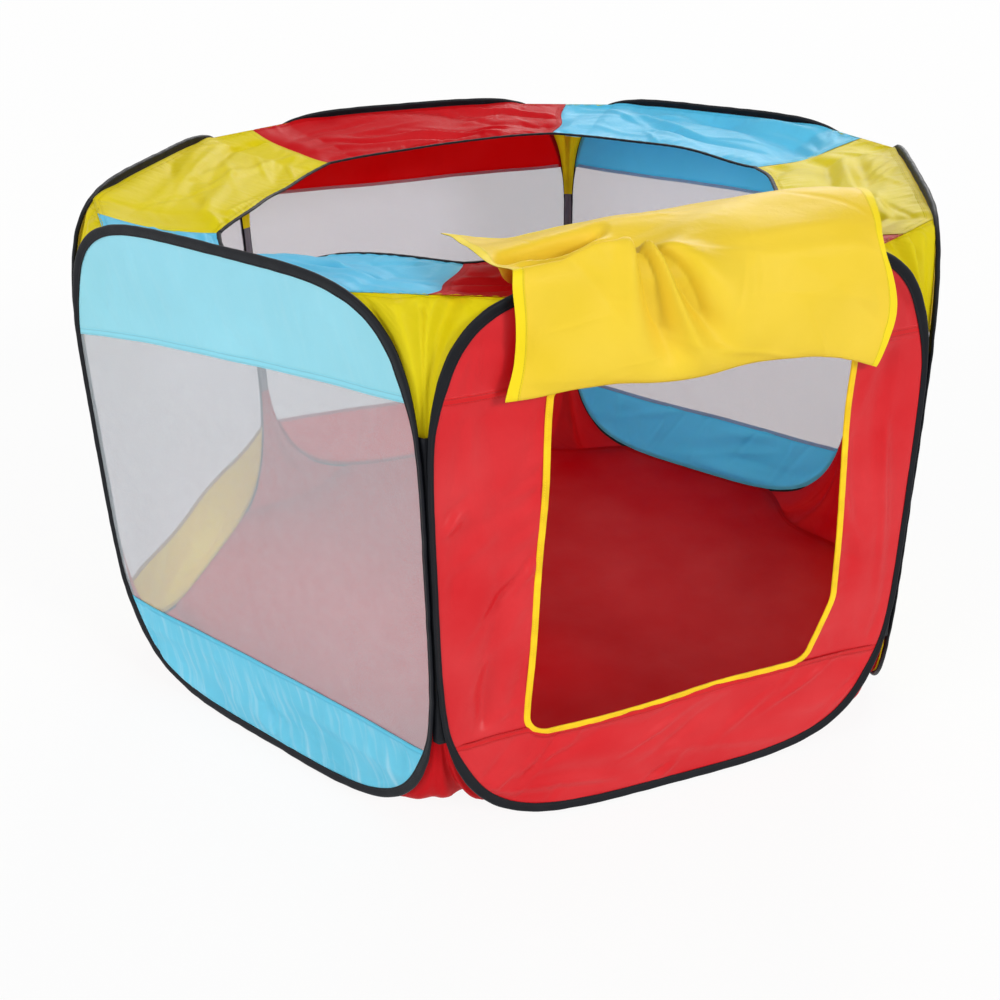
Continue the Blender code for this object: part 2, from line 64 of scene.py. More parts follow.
# Panels, from the door anticlockwise seen from above; each has its own axes:
# x along the panel, y into the pen from the panel's inner face, z up from the ground.
PANELS = ("door", "right", "back_right", "back", "left", "front_left")
PANEL_COLOUR = dict(zip(PANELS, ("red", "yellow", "blue") * 2))
SIDES = range(len(PANELS))
TURN = math.tau / 6
PANEL_SPACING = 0.620
APOTHEM = PANEL_SPACING / 2 / math.tan(TURN / 2)
HALF_WIDTH = 0.30985
HALF_HEIGHT = 0.347
PANEL_FOOT = 0.0013
PANEL_MIDDLE = PANEL_FOOT + HALF_HEIGHT
TOP_SQUARENESS = 4.7
BOTTOM_SQUARENESS = 4.0
MID_PLANE = -0.003
CLOTH_INSET = 0.0052

# Seams and the door opening, as in the part's source
UPPER_SEAM = 0.556
LOWER_SEAM = 0.132
FRONT_LEFT_RISE = 0.050 / PANEL_SPACING
DOOR_SEAM = 0.1438
HINGE_HEIGHT = 0.5728
PIPING_WIDTH = 0.0082
OPENING_CORNERS = ((-0.197, 0.133), (0.180, 0.147), (0.209, 0.234), (0.198, 0.567), (-0.165, 0.567))
OPENING_RADII = (0.022, 0.022, 0.060, 0.006, 0.006)

# Strips up the corners: low and high ends, half width, and distance in from the panel's face
TAPE_STRIP = (0.150, 0.540, 0.0046, 0.0002)
WEBBING_STRIP = (0.165, 0.525, 0.0040, 0.0014)

# Visor and rim. Each sag is a bell: its bearing and width in degrees, and its depth. The slack is one
# too, where the rim is drawn outwards.
RIM_RADIUS = 0.3599
RIM_HEIGHT = 0.6603
VISOR_SAG = 0.006
TOP_CONTACT = math.radians(65.0)
VISOR_HOLD = 0.2147
VISOR_LAP = 0.016
VISOR_LEAN = (9, -6, -15, -17, 12, 5)
RIM_SAGS = ((140, 45, 0.020), (-160, 28, 0.014), (-165, 13, 0.024), (4, 12, 0.012))
RIM_SLACK = (-172, 13, 0.055)

# Gussets: lowest and highest superellipse angle, and the corners where they are in two
# halves, with the share of the gusset that each half covers
UPPER_GUSSET = (9.0, 65.6)
LOWER_GUSSET = (-77.0, -11.0)
GUSSET_HALVES = {2: 0.51, 3: 0.62, 5: 0.51}

# Directions in a panel's own axes
ALONG = (1.0, 0.0, 0.0)
INWARD = (0.0, 1.0, 0.0)
UPRIGHT = (0.0, 0.0, 1.0)

# Stage. Each lamp: name, strength, width, bearing and rise in degrees.
WHITE = (1.0, 1.0, 1.0, 1.0)
SKY_STRENGTH = 0.38
LAMPS = (("key_lamp", 1.58, 16, -60, 25), ("fill_lamp", 1.40, 34, -160, 24), ("back_lamp", 1.15, 30, 55, 26))
CAMERA_PLACE = (-0.6295, -1.6532, 1.0552)
CAMERA_ANGLES = (math.radians(-19.774), math.radians(26.873), math.radians(-1.175))
CAMERA_LENS = 44.53
CAMERA_SENSOR = 36.0


def screen(red, green, blue):
    """A colour as screens show it, 0 to 255, in the linear values that shaders use."""
    share = np.array((red, green, blue)) / 255.0
    linear = np.where(share <= 0.04045, share / 12.92, ((share + 0.055) / 1.055) ** 2.4)
    return tuple(linear.tolist())


LENGTH = {"unit": "LENGTH", "subtype": "DISTANCE"}
SHADE = {"subtype": "COLOR", "size": 3, "min": 0.0, "max": 1.0}


class PlaypenSizes(bpy.types.PropertyGroup):
    tape_width: FloatProperty(
        name="Edge tape width", description="Width of the folded tape round a panel",
        default=0.0130, min=0.01, max=0.03, **LENGTH)
    tape_side_width: FloatProperty(
        name="Tape width at the uprights", description="Width of the tape where two panels are sewn together",
        default=0.0072, min=0.006, max=0.02, **LENGTH)
    cloth_thickness: FloatProperty(
        name="Cloth thickness", description="Thickness of the woven cloth",
        default=0.0006, min=0.0002, max=0.001, **LENGTH)
    net_thickness: FloatProperty(
        name="Netting thickness", description="Thickness of the netting",
        default=0.0004, min=0.0002, max=0.001, **LENGTH)
    net_pitch: FloatProperty(
        name="Netting pitch", description="Distance between threads of the netting",
        default=0.0017, min=0.001, max=0.01, **LENGTH)
    hem_width: FloatProperty(
        name="Hem width", description="Width of the doubled cloth along a seam",
        default=0.009, min=0.004, max=0.02, **LENGTH)
    flap_hem_width: FloatProperty(
        name="Flap hem width", description="Width of the doubled cloth round the door flap",
        default=0.012, min=0.004, max=0.02, **LENGTH)
    stitch_pitch: FloatProperty(
        name="Stitch length", description="Distance from one stitch to the next",
        default=0.0032, min=0.002, max=0.008, **LENGTH)
    rim_width: FloatProperty(
        name="Rim width", description="Width of the elastic binding at the inner edge of the visor",
        default=0.0062, min=0.003, max=0.012, **LENGTH)
    crease_height: FloatProperty(
        name="Crease height", description="How deep the creases in the cloth are, 1 for the usual depth",
        default=1.0, min=0.0, max=2.0, subtype="FACTOR")


class PlaypenColours(bpy.types.PropertyGroup):
    red: FloatVectorProperty(
        name="Red cloth", description="Door, back panel, their visors and the lower gussets",
        default=screen(220, 12, 27), **SHADE)
    yellow: FloatVectorProperty(
        name="Yellow cloth", description="Right and left panels, their visors and the upper gussets",
        default=screen(242, 229, 0), **SHADE)
    blue: FloatVectorProperty(
        name="Blue cloth", description="Front left and back right panels and their visors",
        default=screen(110, 220, 250), **SHADE)
    # Painted light: a paler copy of the blue cloth for the front left panel's brightly lit upper band
    pale_blue: FloatVectorProperty(
        name="Pale blue cloth", description="Upper band of the front left panel",
        default=screen(176, 242, 255), **SHADE)
    # Painted light: a lighter copy of the blue cloth for the front left panel's lit lower band, which also
    # gets painted sheen streaks
    bright_blue: FloatVectorProperty(
        name="Bright blue cloth", description="Lower band of the front left panel",
        default=screen(122, 222, 248), **SHADE)
    flap: FloatVectorProperty(
        name="Flap cloth", description="The door flap",
        default=screen(250, 218, 54), **SHADE)
    piping: FloatVectorProperty(
        name="Piping", description="Tape round the door opening",
        default=screen(248, 206, 30), **SHADE)
    tape: FloatVectorProperty(
        name="Edge tape", description="Black tape round the panels",
        default=screen(12, 15, 22), **SHADE)
    webbing: FloatVectorProperty(
        name="Seam webbing", description="Grey webbing over the corner seams inside the pen",
        default=screen(104, 104, 116), **SHADE)
    netting: FloatVectorProperty(
        name="Netting", description="Threads of the netting",
        default=screen(238, 248, 255), **SHADE)
    # Painted shade: a darker copy of the netting colour for the nets whose inner faces are seen in shade
    inner_netting: FloatVectorProperty(
        name="Shaded netting", description="Threads of the netting on the panels behind the front left one",
        default=screen(176, 172, 188), **SHADE)
    steel: FloatVectorProperty(
        name="Spring steel", description="Wire loops and ferrules",
        default=screen(176, 178, 184), **SHADE)
    floor: FloatVectorProperty(
        name="Stage floor", description="The pale floor under the pen",
        default=(0.90, 0.90, 0.90), **SHADE)


def sizes():
    return bpy.context.scene.playpen_sizes


def colours():
    return bpy.context.scene.playpen_colours


def smooth(value):
    """3v^2 - 2v^3 of a value held between 0 and 1."""
    value = np.clip(value, 0.0, 1.0)
    return value * value * (3.0 - 2.0 * value)


def bell(distance, width):
    """exp(-(distance / width)^2)."""
    return np.exp(-((distance / width) ** 2))


def signed(value, power):
    """A power of a value's size, with the value's own sign."""
    return np.sign(value) * np.abs(value) ** power


def stacked(*parts):
    """Separate coordinates joined as points along a new last axis."""
    return np.stack(np.broadcast_arrays(*parts), -1)


def unit(vectors):
    """Vectors brought to a length of 1."""
    return vectors / np.maximum(np.linalg.norm(vectors, axis=-1, keepdims=True), 1e-12)


def travelled(points):
    """Distance along a path at each of its points."""
    return np.pad(np.linalg.norm(np.diff(points, axis=0), axis=-1).cumsum(), (1, 0))


def within_turn(angle):
    """An angle in radians brought between half a turn either way."""
    return (angle + math.pi) % math.tau - math.pi


def numbered(rows, columns):
    """The point numbers of a grid."""
    return np.arange(rows * columns).reshape(rows, columns)


def placed(points, panel):
    """Points from a panel's own axes: moved out by the apothem, then turned by 60 degrees a panel."""
    across, inward, up = np.moveaxis(np.asarray(points, float), -1, 0)
    inward = inward - APOTHEM
    cos, sin = math.cos(TURN * panel), math.sin(TURN * panel)
    return stacked(across * cos - inward * sin, across * sin + inward * cos, up)


def through(knots, values, places):
    """A smooth curve through values at the knots: cubic pieces whose slopes are the mean slopes there."""
    knots, values, places = (np.asarray(part, float) for part in (knots, values, places))
    slopes = np.gradient(values, knots, axis=0)
    left = np.clip(np.searchsorted(knots, places, side="right") - 1, 0, len(knots) - 2)
    step = (knots[left + 1] - knots[left]).reshape(-1, *[1] * (values.ndim - 1))
    share = ((places - knots[left]) / (knots[left + 1] - knots[left])).reshape(step.shape)
    square, cube = share**2, share**3
    return (
        (2 * cube - 3 * square + 1) * values[left] + (cube - 2 * square + share) * step * slopes[left]
        + (3 * square - 2 * cube) * values[left + 1] + (cube - square) * step * slopes[left + 1]
    )


def drift(seed, across, along, length, height):
    """A soft swell: a third of the sum of six plane waves of random direction, each about length long."""
    draw = np.random.default_rng(seed)
    total = 0.0
    for _ in range(6):
        angle, phase = draw.uniform(0, math.tau, 2)
        pace = math.tau / (length * draw.uniform(0.75, 1.5))
        total = total + np.sin(pace * (across * math.cos(angle) + along * math.sin(angle)) + phase)
    return height * total / 3.0


def pulls(seed, across, along, count, reach, width, height, lean, spread):
    """Straight creases: each a bell across its line and a wider bell along it, raised or sunk.

    reach, width and height are middle values that vary by a third, lean is the angle from the x axis
    in degrees, and spread is how far it varies, in radians.
    """
    draw = np.random.default_rng(seed)
    low = (across.min(), along.min())
    high = (across.max(), along.max())
    total = np.zeros(across.shape)
    for _ in range(count):
        x, y = draw.uniform(low, high)
        angle = math.radians(lean) + spread * draw.uniform(-1, 1)
        long, wide, tall = draw.uniform(0.66, 1.33, 3)
        sign = draw.choice((-1.0, 1.0))
        along_line = (across - x) * math.cos(angle) + (along - y) * math.sin(angle)
        off_line = (along - y) * math.cos(angle) - (across - x) * math.sin(angle)
        bend = off_line + along_line**2 * draw.uniform(-0.5, 0.5)
        total += sign * height * tall * bell(bend, width * wide) * bell(along_line, reach * long)
    return total * sizes().crease_height


def gathers(seed, distance, depth, spacing, height, fade):
    """Small puckers along a sewn edge: waves along it that fade with the depth from it."""
    draw = np.random.default_rng(seed)
    total = 0.0
    for share in (1.0, 0.62, 1.45):
        pace = math.tau / (spacing * share * draw.uniform(0.9, 1.1))
        wander = draw.uniform(-0.4, 0.4) * depth
        total = total + np.sin(pace * (distance + wander) + draw.uniform(0, math.tau)) * math.sqrt(share)
    return height * total / 2.0 * np.exp(-depth / fade) * sizes().crease_height


def grid_normals(points):
    """Unit normals of a grid: the cross product of its two directions."""
    return unit(np.cross(np.gradient(points, axis=1), np.gradient(points, axis=0)))


def raised(points, height):
    """A grid moved along its own normals by height."""
    return points + grid_normals(points) * height[..., None]


def quads(index):
    """Faces between neighbours of a grid of numbers."""
    return np.stack((index[:-1, :-1], index[:-1, 1:], index[1:, 1:], index[1:, :-1]), -1).reshape(-1, 4)


def build_mesh(name, points, faces, flat_map, edge):
    """A mesh from points, faces, a flat map in metres, and each point's distance from its seam."""
    if not np.isfinite(points).all():
        raise ValueError(f"{name} has points without a place")
    mesh = bpy.data.meshes.new(name)
    mesh.from_pydata(points.reshape(-1, 3).tolist(), [], faces)
    mesh.shade_smooth()
    layer = mesh.uv_layers.new(name="cloth")
    layer.uv.foreach_set("vector", flat_map.astype(np.float32).ravel())
    distance = mesh.attributes.new("edge", "FLOAT", "POINT")
    distance.data.foreach_set("value", edge.astype(np.float32).ravel())
    mesh.update()
    return mesh


def add_object(name, mesh, material):
    mesh.materials.append(material)
    obj = bpy.data.objects.new(name, mesh)
    bpy.context.scene.collection.objects.link(obj)
    return obj


def add_sheet(name, points, flat_map, edge, finish, thickness=None, normals=None):
    """A thin closed shell: the grid moved half its thickness to either side, joined round its border."""
    thickness = thickness or sizes().cloth_thickness
    normals = grid_normals(points) if normals is None else normals
    index = numbered(*points.shape[:2])
    border = np.concatenate((index[0, :-1], index[:-1, -1], index[-1, :0:-1], index[:0:-1, 0]))
    following = np.roll(border, -1)
    front = quads(index)
    back = front[:, ::-1] + index.size
    rim = np.stack((following, border, border + index.size, following + index.size), -1)
    faces = np.concatenate((front, back, rim))
    shell = np.stack([points + normals * side * thickness / 2 for side in (1, -1)])
    flats = np.tile(flat_map.reshape(-1, 2), (2, 1))[faces]
    mesh = build_mesh(name, shell, faces.tolist(), flats, np.tile(edge.ravel(), 2))
    mesh.normals_split_custom_set_from_vertices(np.concatenate((normals, -normals)).reshape(-1, 3).tolist())
    return add_object(name, mesh, material_for(finish))


def swept(panel, centre, side, lift, profile, distance, edge, closed=False):
    """A profile carried along a path in a panel's axes: centre + side * x + lift * y.

    centre is (stations, 3), side and lift are that or one direction, and the profile is (corners, 2) or
    (stations, corners, 2). Gives points, their numbers, flat map, distances from a seam, and open ends.
    """
    side, lift = (np.broadcast_to(part, centre.shape)[:, None] for part in (side, lift))
    profile = np.broadcast_to(profile, (len(centre), *np.shape(profile)[-2:]))
    points = centre[:, None] + side * profile[..., :1] + lift * profile[..., 1:]
    steps = np.linalg.norm(np.diff(profile, axis=1, append=profile[:, :1]), axis=-1)
    girth = np.pad(np.cumsum(steps, axis=1), ((0, 0), (1, 0)))
    index = numbered(*points.shape[:2])
    index = np.hstack((index, index[:, :1]))
    flats = stacked(distance[:len(centre), None], girth)
    if closed:
        index = np.vstack((index, index[:1]))
        flats = np.vstack((flats, flats[:1]))
        flats[-1, :, 0] = distance[-1]
    return placed(points, panel), index, flats, np.broadcast_to(edge, points.shape[:2]), not closed


def add_tube(name, parts, finish):
    """One closed mesh from swept parts, with caps on their open ends."""
    points, faces, flats, edges = [], [], [], []
    start = 0
    for places, index, flat_map, edge, open_ends in parts:
        corners = quads(numbered(*flat_map.shape[:2]))
        faces += (quads(index) + start).tolist()
        flats.append(flat_map.reshape(-1, 2)[corners].reshape(-1, 2))
        if open_ends:
            faces += [(index[0, -2::-1] + start).tolist(), (index[-1, :-1] + start).tolist()]
            flats += [flat_map[0, -2::-1], flat_map[-1, :-1]]
        points.append(places.reshape(-1, 3))
        edges.append(edge.ravel())
        start += edge.size
    mesh = build_mesh(name, np.concatenate(points), faces, np.concatenate(flats), np.concatenate(edges))
    shape = bmesh.new()
    shape.from_mesh(mesh)
    bmesh.ops.recalc_face_normals(shape, faces=shape.faces)
    shape.to_mesh(mesh)
    shape.free()
    return add_object(name, mesh, material_for(finish))


def unrolled(points):
    """A flat map in metres: distance along each row from its middle, and mean distance between rows."""
    across = np.linalg.norm(np.diff(points, axis=1), axis=-1).cumsum(axis=1)
    across = np.pad(across, ((0, 0), (1, 0)))
    across = across - across[:, -1:] / 2
    along = np.linalg.norm(np.diff(points, axis=0), axis=-1).mean(axis=1).cumsum()
    return stacked(across, np.pad(along, (1, 0))[:, None])


def declare_sheet(flat_map):
    """Works out the size the cloth was cut to from its flat map, and passes it on to nothing.

    A cut with hollow sides fills under a third of its rectangle, so its width is given as a triangle's.
    """
    width, length = np.ptp(flat_map.reshape(-1, 2), axis=0).tolist()
    one = flat_map[1:, 1:] - flat_map[:-1, :-1]
    other = flat_map[1:, :-1] - flat_map[:-1, 1:]
    area = np.abs(one[..., 0] * other[..., 1] - one[..., 1] * other[..., 0]).sum() / 2
    area = float(min(area, width * length))
    width = min(width, 2 * area / length) if area < width * length / 3 else width


def fit_piece(obj, nodes, body=None):
    """Hides the parts that a piece stands for, and hangs the piece on the body it rides on."""
    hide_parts(*nodes)
    if body:
        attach(obj, body)


class Value:
    """One socket of a shader; arithmetic on it adds Math nodes to its tree."""

    def __init__(self, tree, socket):
        self.tree = tree
        self.socket = socket

    def math(self, operation, *others, clamp=False):
        values = dict(enumerate((self, *others)))
        return self.tree.add("Math", {"operation": operation, "use_clamp": clamp}, values)

    def __add__(self, other):
        return self.math("ADD", other)

    __radd__ = __add__

    def __mul__(self, other):
        return self.math("MULTIPLY", other)

    __rmul__ = __mul__

    def __sub__(self, other):
        return self.math("SUBTRACT", other)

    def __rsub__(self, other):
        return self.tree.add("Math", {"operation": "SUBTRACT"}, {0: other, 1: self})

    def __truediv__(self, other):
        return self.math("DIVIDE", other)

    def held(self):
        return self.math("ADD", 0.0, clamp=True)


class Finish:
    """The nodes of a material or a world, added by type, settings and socket values."""

    def __init__(self, owner):
        owner.use_nodes = True
        self.nodes = owner.node_tree.nodes
        self.links = owner.node_tree.links
        self.nodes.clear()

    def add(self, kind, settings=None, sockets=None, output=0):
        """A node of a kind, its settings set first, then its sockets; gives one of its outputs."""
        node = self.nodes.new("ShaderNode" + kind)
        for name, setting in (settings or {}).items():
            setattr(node, name, setting)
        for name, value in (sockets or {}).items():
            if isinstance(value, Value):
                self.links.new(value.socket, node.inputs[name])
            else:
                node.inputs[name].default_value = value
        return Value(self, node.outputs[output]) if node.outputs else None

    def mix(self, factor, first, second):
        """Two colours mixed by a factor."""
        first, second = ((*part, 1.0) if isinstance(part, tuple) else part for part in (first, second))
        return self.add("Mix", {"data_type": "RGBA"}, {0: factor, 6: first, 7: second}, 2)

    def mix_shaders(self, factor, first, second):
        return self.add("MixShader", None, {0: factor, 1: first, 2: second})

    def flat(self):
        """The piece's flat map in metres, as two values."""
        split = self.add("UVMap", {"uv_map": "cloth"})
        parts = self.add("SeparateXYZ", None, {0: split})
        return parts, Value(self, parts.socket.node.outputs[1])

    def edge(self):
        return self.add("Attribute", {"attribute_name": "edge"}, output="Fac")

    def noise(self, scale, detail=2.0, vector=None, distortion=0.0):
        """Noise over Object coordinates, or over a vector that is given."""
        vector = vector or self.add("TexCoord", output="Object")
        sockets = {"Vector": vector, "Scale": scale, "Detail": detail, "Distortion": distortion}
        return self.add("TexNoise", None, sockets)

    def wave(self, value, pitch):
        """0 to 1 and back over each pitch."""
        return (value * (math.tau / pitch)).math("SINE") * 0.5 + 0.5

    def band(self, value, middle, half_width):
        """1 at the middle, falling to 0 at half_width to either side."""
        return (1.0 - (value - middle).math("ABSOLUTE") / half_width).held()

    def below(self, value, limit, soft):
        """1 where the value is under the limit, 0 over it, with a soft step."""
        return ((limit - value) / soft + 0.5).held()

    def bump(self, height):
        """Normals from a height in metres."""
        return self.add("Bump", None, {"Height": height, "Distance": 1.0, "Strength": 1.0})

    def principled(self, base, rough, **sockets):
        names = {key.replace("_", " "): value for key, value in sockets.items()}
        return self.add("BsdfPrincipled", None, {"Base Color": base, "Roughness": rough, **names})

    def finish(self, shader, kind="Material"):
        self.add("Output" + kind, None, {"Surface": shader})


def tinted(colour, scale, lift=0.0):
    """A colour with each of its parts times a number, plus another."""
    return tuple(part * scale + lift for part in colour)


def weave_height(tree, thread, height):
    """Plain weave on the flat map: the product of two waves, each over two threads."""
    across, along = tree.flat()
    warp = (across * (math.pi / thread)).math("SINE")
    weft = (along * (math.pi / thread)).math("SINE")
    return warp * weft * height


def stitch_mask(tree, distance, lines, width):
    """Dashed thread lines at the given distances from a seam."""
    across, along = tree.flat()
    dash = (tree.wave(across + along, sizes().stitch_pitch) * 4.0 - 0.8).held()
    total = 0.0
    for line in lines:
        total = tree.band(distance, line, width) + total
    return (total * dash).held(), total.held()


def make_cloth(tree, colour, glow, shine, gloss, sheen_streaks=0.0, hem_colour=None):
    """Thin woven nylon: satin gloss, fine crumple, slanting streaks of painted sheen, a doubled hem and its
    stitches with painted shade in their grooves.

    glow is the share of light it lets through. A hem of its own colour is the flap's wide one.
    """
    hem, lines = sizes().hem_width, (0.0014, 0.0070)
    if hem_colour:
        hem = sizes().flap_hem_width
        lines = (hem - 0.0012,)
    patchy = tree.noise(9.0, 3.0)
    crumple = tree.noise(26.0, 4.0, distortion=0.8)
    fine = tree.noise(85.0, 3.0, distortion=0.4)
    distance = tree.edge()
    hem_mask = tree.below(distance, hem, 0.0008)
    threads, grooves = stitch_mask(tree, distance, lines, 0.0009)
    across, along = tree.flat()
    # Painted sheen: slanting streaks that lighten the colour toward white
    slanted = tree.add("CombineXYZ", None, {0: (across + along * 0.32) * 105.0, 1: along * 9.0})
    sheen_runs = tree.noise(1.0, 3.0, slanted)
    base = tree.mix((patchy * 2.0 - 0.5).held(), tinted(colour, 0.92), tinted(colour, 0.97, 0.03))
    base = tree.mix(((sheen_runs - 0.50) * 5.0).held() * sheen_streaks, base, tinted(colour, 0.65, 0.35))
    base = tree.mix(hem_mask * 0.7, base, hem_colour or tuple(part**1.2 for part in colour))
    # Painted shade: the cloth is darkened along the sunken stitch grooves
    base = tree.mix(grooves * 0.45, base, tinted(colour, 0.35))
    base = tree.mix(threads * 0.4, base, tinted(colour, 0.9, 0.03))
    crease = (crumple - 0.5).math("ABSOLUTE") * -0.0009
    height = crease + fine * 0.00025 + weave_height(tree, 0.0007, 0.00002)
    height = height + hem_mask * 0.0004 + threads * 0.0003 - grooves * 0.0003
    rough = (fine * 0.16 + (shine - 0.08) + hem_mask * 0.05).held()
    normal = tree.bump(height)
    solid = tree.principled(base, rough, Normal=normal, Specular_IOR_Level=gloss)
    lit = tree.add("BsdfTranslucent", None, {"Color": (*colour, 1.0), "Normal": normal})
    tree.finish(tree.mix_shaders(glow, solid, lit))


def make_tape(tree, colour, rib, rough):
    """Woven tape: fine cross ribs, a stitched line near its edge and slight patchy fading."""
    ribs = tree.wave(tree.flat()[0], rib)
    worn = tree.noise(38.0, 4.0)
    lint = tree.noise(420.0, 2.0)
    threads, grooves = stitch_mask(tree, tree.edge(), (0.0026,), 0.0008)
    base = tree.mix((worn * 1.6 - 0.4).held(), tinted(colour, 0.8), tinted(colour, 1.2, 0.002))
    base = tree.mix((lint * 3.0 - 1.75).held() * 0.2, base, tinted(colour, 1.3, 0.02))
    base = tree.mix(threads * 0.5, base, tinted(colour, 1.3, 0.012))
    height = ribs * 0.00007 + lint * 0.00006 + worn * 0.0006 + threads * 0.0003 - grooves * 0.0003
    rough_map = (worn * 0.2 + (rough - 0.1)).held()
    tree.finish(tree.principled(base, rough_map, Normal=tree.bump(height), Specular_IOR_Level=0.16))


def make_netting(tree, colour, thick):
    """Fine knitted net: threads round staggered holes; alpha is high on the threads and low in the holes."""
    across, along = tree.flat()
    pitch = sizes().net_pitch
    holes = ((across * (math.tau / pitch)).math("COSINE")
             * (along * (math.tau / (pitch * 1.15))).math("COSINE")).math("ABSOLUTE")
    threads = (0.62 - holes) * 1.5
    knots = tree.noise(60.0, 3.0)
    alpha = (threads.held() * 0.36 + thick + (knots - 0.5) * 0.03).held()
    base = tree.mix((knots * 1.8 - 0.4).held(), tinted(colour, 0.95), colour)
    solid = tree.principled(base, 0.62, Alpha=alpha, Normal=tree.bump(threads * 0.00012))
    lit = tree.add("BsdfTranslucent", None, {"Color": (*colour, 1.0)})
    clear = tree.add("BsdfTransparent")
    tree.finish(tree.mix_shaders(0.12, solid, tree.mix_shaders(alpha, clear, lit)))


def make_steel(tree, colour):
    """Drawn spring wire: bright, with fine marks along it."""
    marks = tree.noise(1400.0, 3.0)
    base = tree.mix(tree.noise(60.0, 3.0), tinted(colour, 0.7), colour)
    rough = (marks * 0.2 + 0.22).held()
    tree.finish(tree.principled(base, rough, Metallic=1.0, Normal=tree.bump(marks * 0.00004)))


# Each finish: its maker, its colour's name, and what the maker takes after those. For cloth that is the
# share of light let through, roughness, gloss, the strength of its painted sheen streaks and the hem's
# colour, for tape the spacing of its ribs and roughness, and for netting how much its holes hide.
FINISHES = {
    "red": (make_cloth, "red", 0.36, 0.42, 0.04),
    "door_red": (make_cloth, "red", 0.12, 0.38, 0.30),
    "thin_red": (make_cloth, "red", 0.60, 0.42, 0.04),
    "yellow": (make_cloth, "yellow", 0.36, 0.40, 0.06),
    "blue": (make_cloth, "blue", 0.34, 0.40, 0.09),
    # Painted light: lighter copies of the blue for the front left bands, with painted sheen streaks
    "pale_blue": (make_cloth, "pale_blue", 0.30, 0.40, 0.09, 0.16),
    "bright_blue": (make_cloth, "bright_blue", 0.25, 0.40, 0.09, 0.75),
    "flap": (make_cloth, "flap", 0.17, 0.42, 0.09, 0.0, screen(255, 236, 24)),
    "piping": (make_tape, "piping", 0.0016, 0.45),
    "tape": (make_tape, "tape", 0.0012, 0.5),
    "webbing": (make_tape, "webbing", 0.0014, 0.7),
    "elastic": (make_tape, "tape", 0.0022, 0.6),
    "netting": (make_netting, "netting", 0.11),
    # Painted shade: a darker copy of the netting for the nets seen from inside
    "inner_netting": (make_netting, "inner_netting", 0.24),
    "steel": (make_steel, "steel"),
}
# Lower and upper bands whose finish isn't simply their panel's colour; the front left's bands take lighter
# copies of its blue, painted light
BAND_FINISHES = {
    "door": ("door_red", "door_red"),
    "back": ("thin_red", "thin_red"),
    "front_left": ("bright_blue", "pale_blue"),
}


def material_for(name):
    """The named material, made at its first use."""
    title = "playpen_" + name
    if title not in bpy.data.materials:
        maker, shade, *rest = FINISHES[name]
        maker(Finish(bpy.data.materials.new(title)), tuple(getattr(colours(), shade)), *rest)
    return bpy.data.materials[title]


def squareness(rise):
    """The outline's power above or below the panel's middle."""
    return np.where(rise > 0, TOP_SQUARENESS, BOTTOM_SQUARENESS)


def other_half(value, half, other, power):
    """The other coordinate of the superellipse |x / a|^n + |z / b|^n = 1."""
    share = np.clip(np.abs(value) / half, 0.0, 1.0)
    return other * (1.0 - share**power) ** (1.0 / power)


def outline_width(up, inset):
    """Half the panel's width at a height."""
    rise = np.asarray(up) - PANEL_MIDDLE
    return other_half(rise, HALF_HEIGHT - inset, HALF_WIDTH - inset, squareness(rise))


def outline_height(across, inset, power):
    """Half the panel's height at an x."""
    return other_half(across, HALF_WIDTH - inset, HALF_HEIGHT - inset, power)


def outline_depth(across, up):
    """Distance in from the panel's outline: (1 - f) / slope of f, for f = (|x/a|^n + |z/b|^n)^(1/n)."""
    rise = up - PANEL_MIDDLE
    power = squareness(rise)
    one, two = np.abs(across) / HALF_WIDTH, np.abs(rise) / HALF_HEIGHT
    level = np.maximum((one**power + two**power) ** (1 / power), 1e-6)
    slope = np.hypot((one / level) ** (power - 1) / HALF_WIDTH, (two / level) ** (power - 1) / HALF_HEIGHT)
    return (1.0 - level) / slope


def outline_point(angle):
    """x / a and z / b of the outline at a superellipse angle: its cosine and sine to the power 2 / n."""
    power = 2 / squareness(np.sin(angle))
    return signed(np.cos(angle), power), signed(np.sin(angle), power)


def outline_slope(across, up):
    """Outward direction of the outline where x / a and z / b are given."""
    power = squareness(up) - 1
    return unit(stacked(signed(across, power) / HALF_WIDTH, signed(up, power) / HALF_HEIGHT))


def outline_path(count):
    """The panel's outline at equal steps from the middle of its foot: points, outward slopes, distances."""
    across, up = outline_point(np.linspace(-math.pi / 2, 1.5 * math.pi, 8001))
    travel = travelled(stacked(across * HALF_WIDTH, up * HALF_HEIGHT))
    places = np.linspace(0.0, travel[-1], count + 1)
    across, up = (np.interp(places[:-1], travel, part) for part in (across, up))
    return across * HALF_WIDTH, up * HALF_HEIGHT, outline_slope(across, up), places


def panel_swell(panel, across, up):
    """How far a panel's cloth stands in from its flat plane: a soft swell that dies out at the tape."""
    hold = smooth((outline_depth(across, up) - 0.012) / 0.05)
    return drift(40 + panel, across, up, 0.22, 0.0030) * hold


def station(angle, inset):
    """Points of the outline at superellipse angles, as (x, height), moved in by inset."""
    across, up = outline_point(angle)
    points = stacked(across * HALF_WIDTH, PANEL_MIDDLE + up * HALF_HEIGHT)
    return points - outline_slope(across, up) * np.asarray(inset)[..., None]


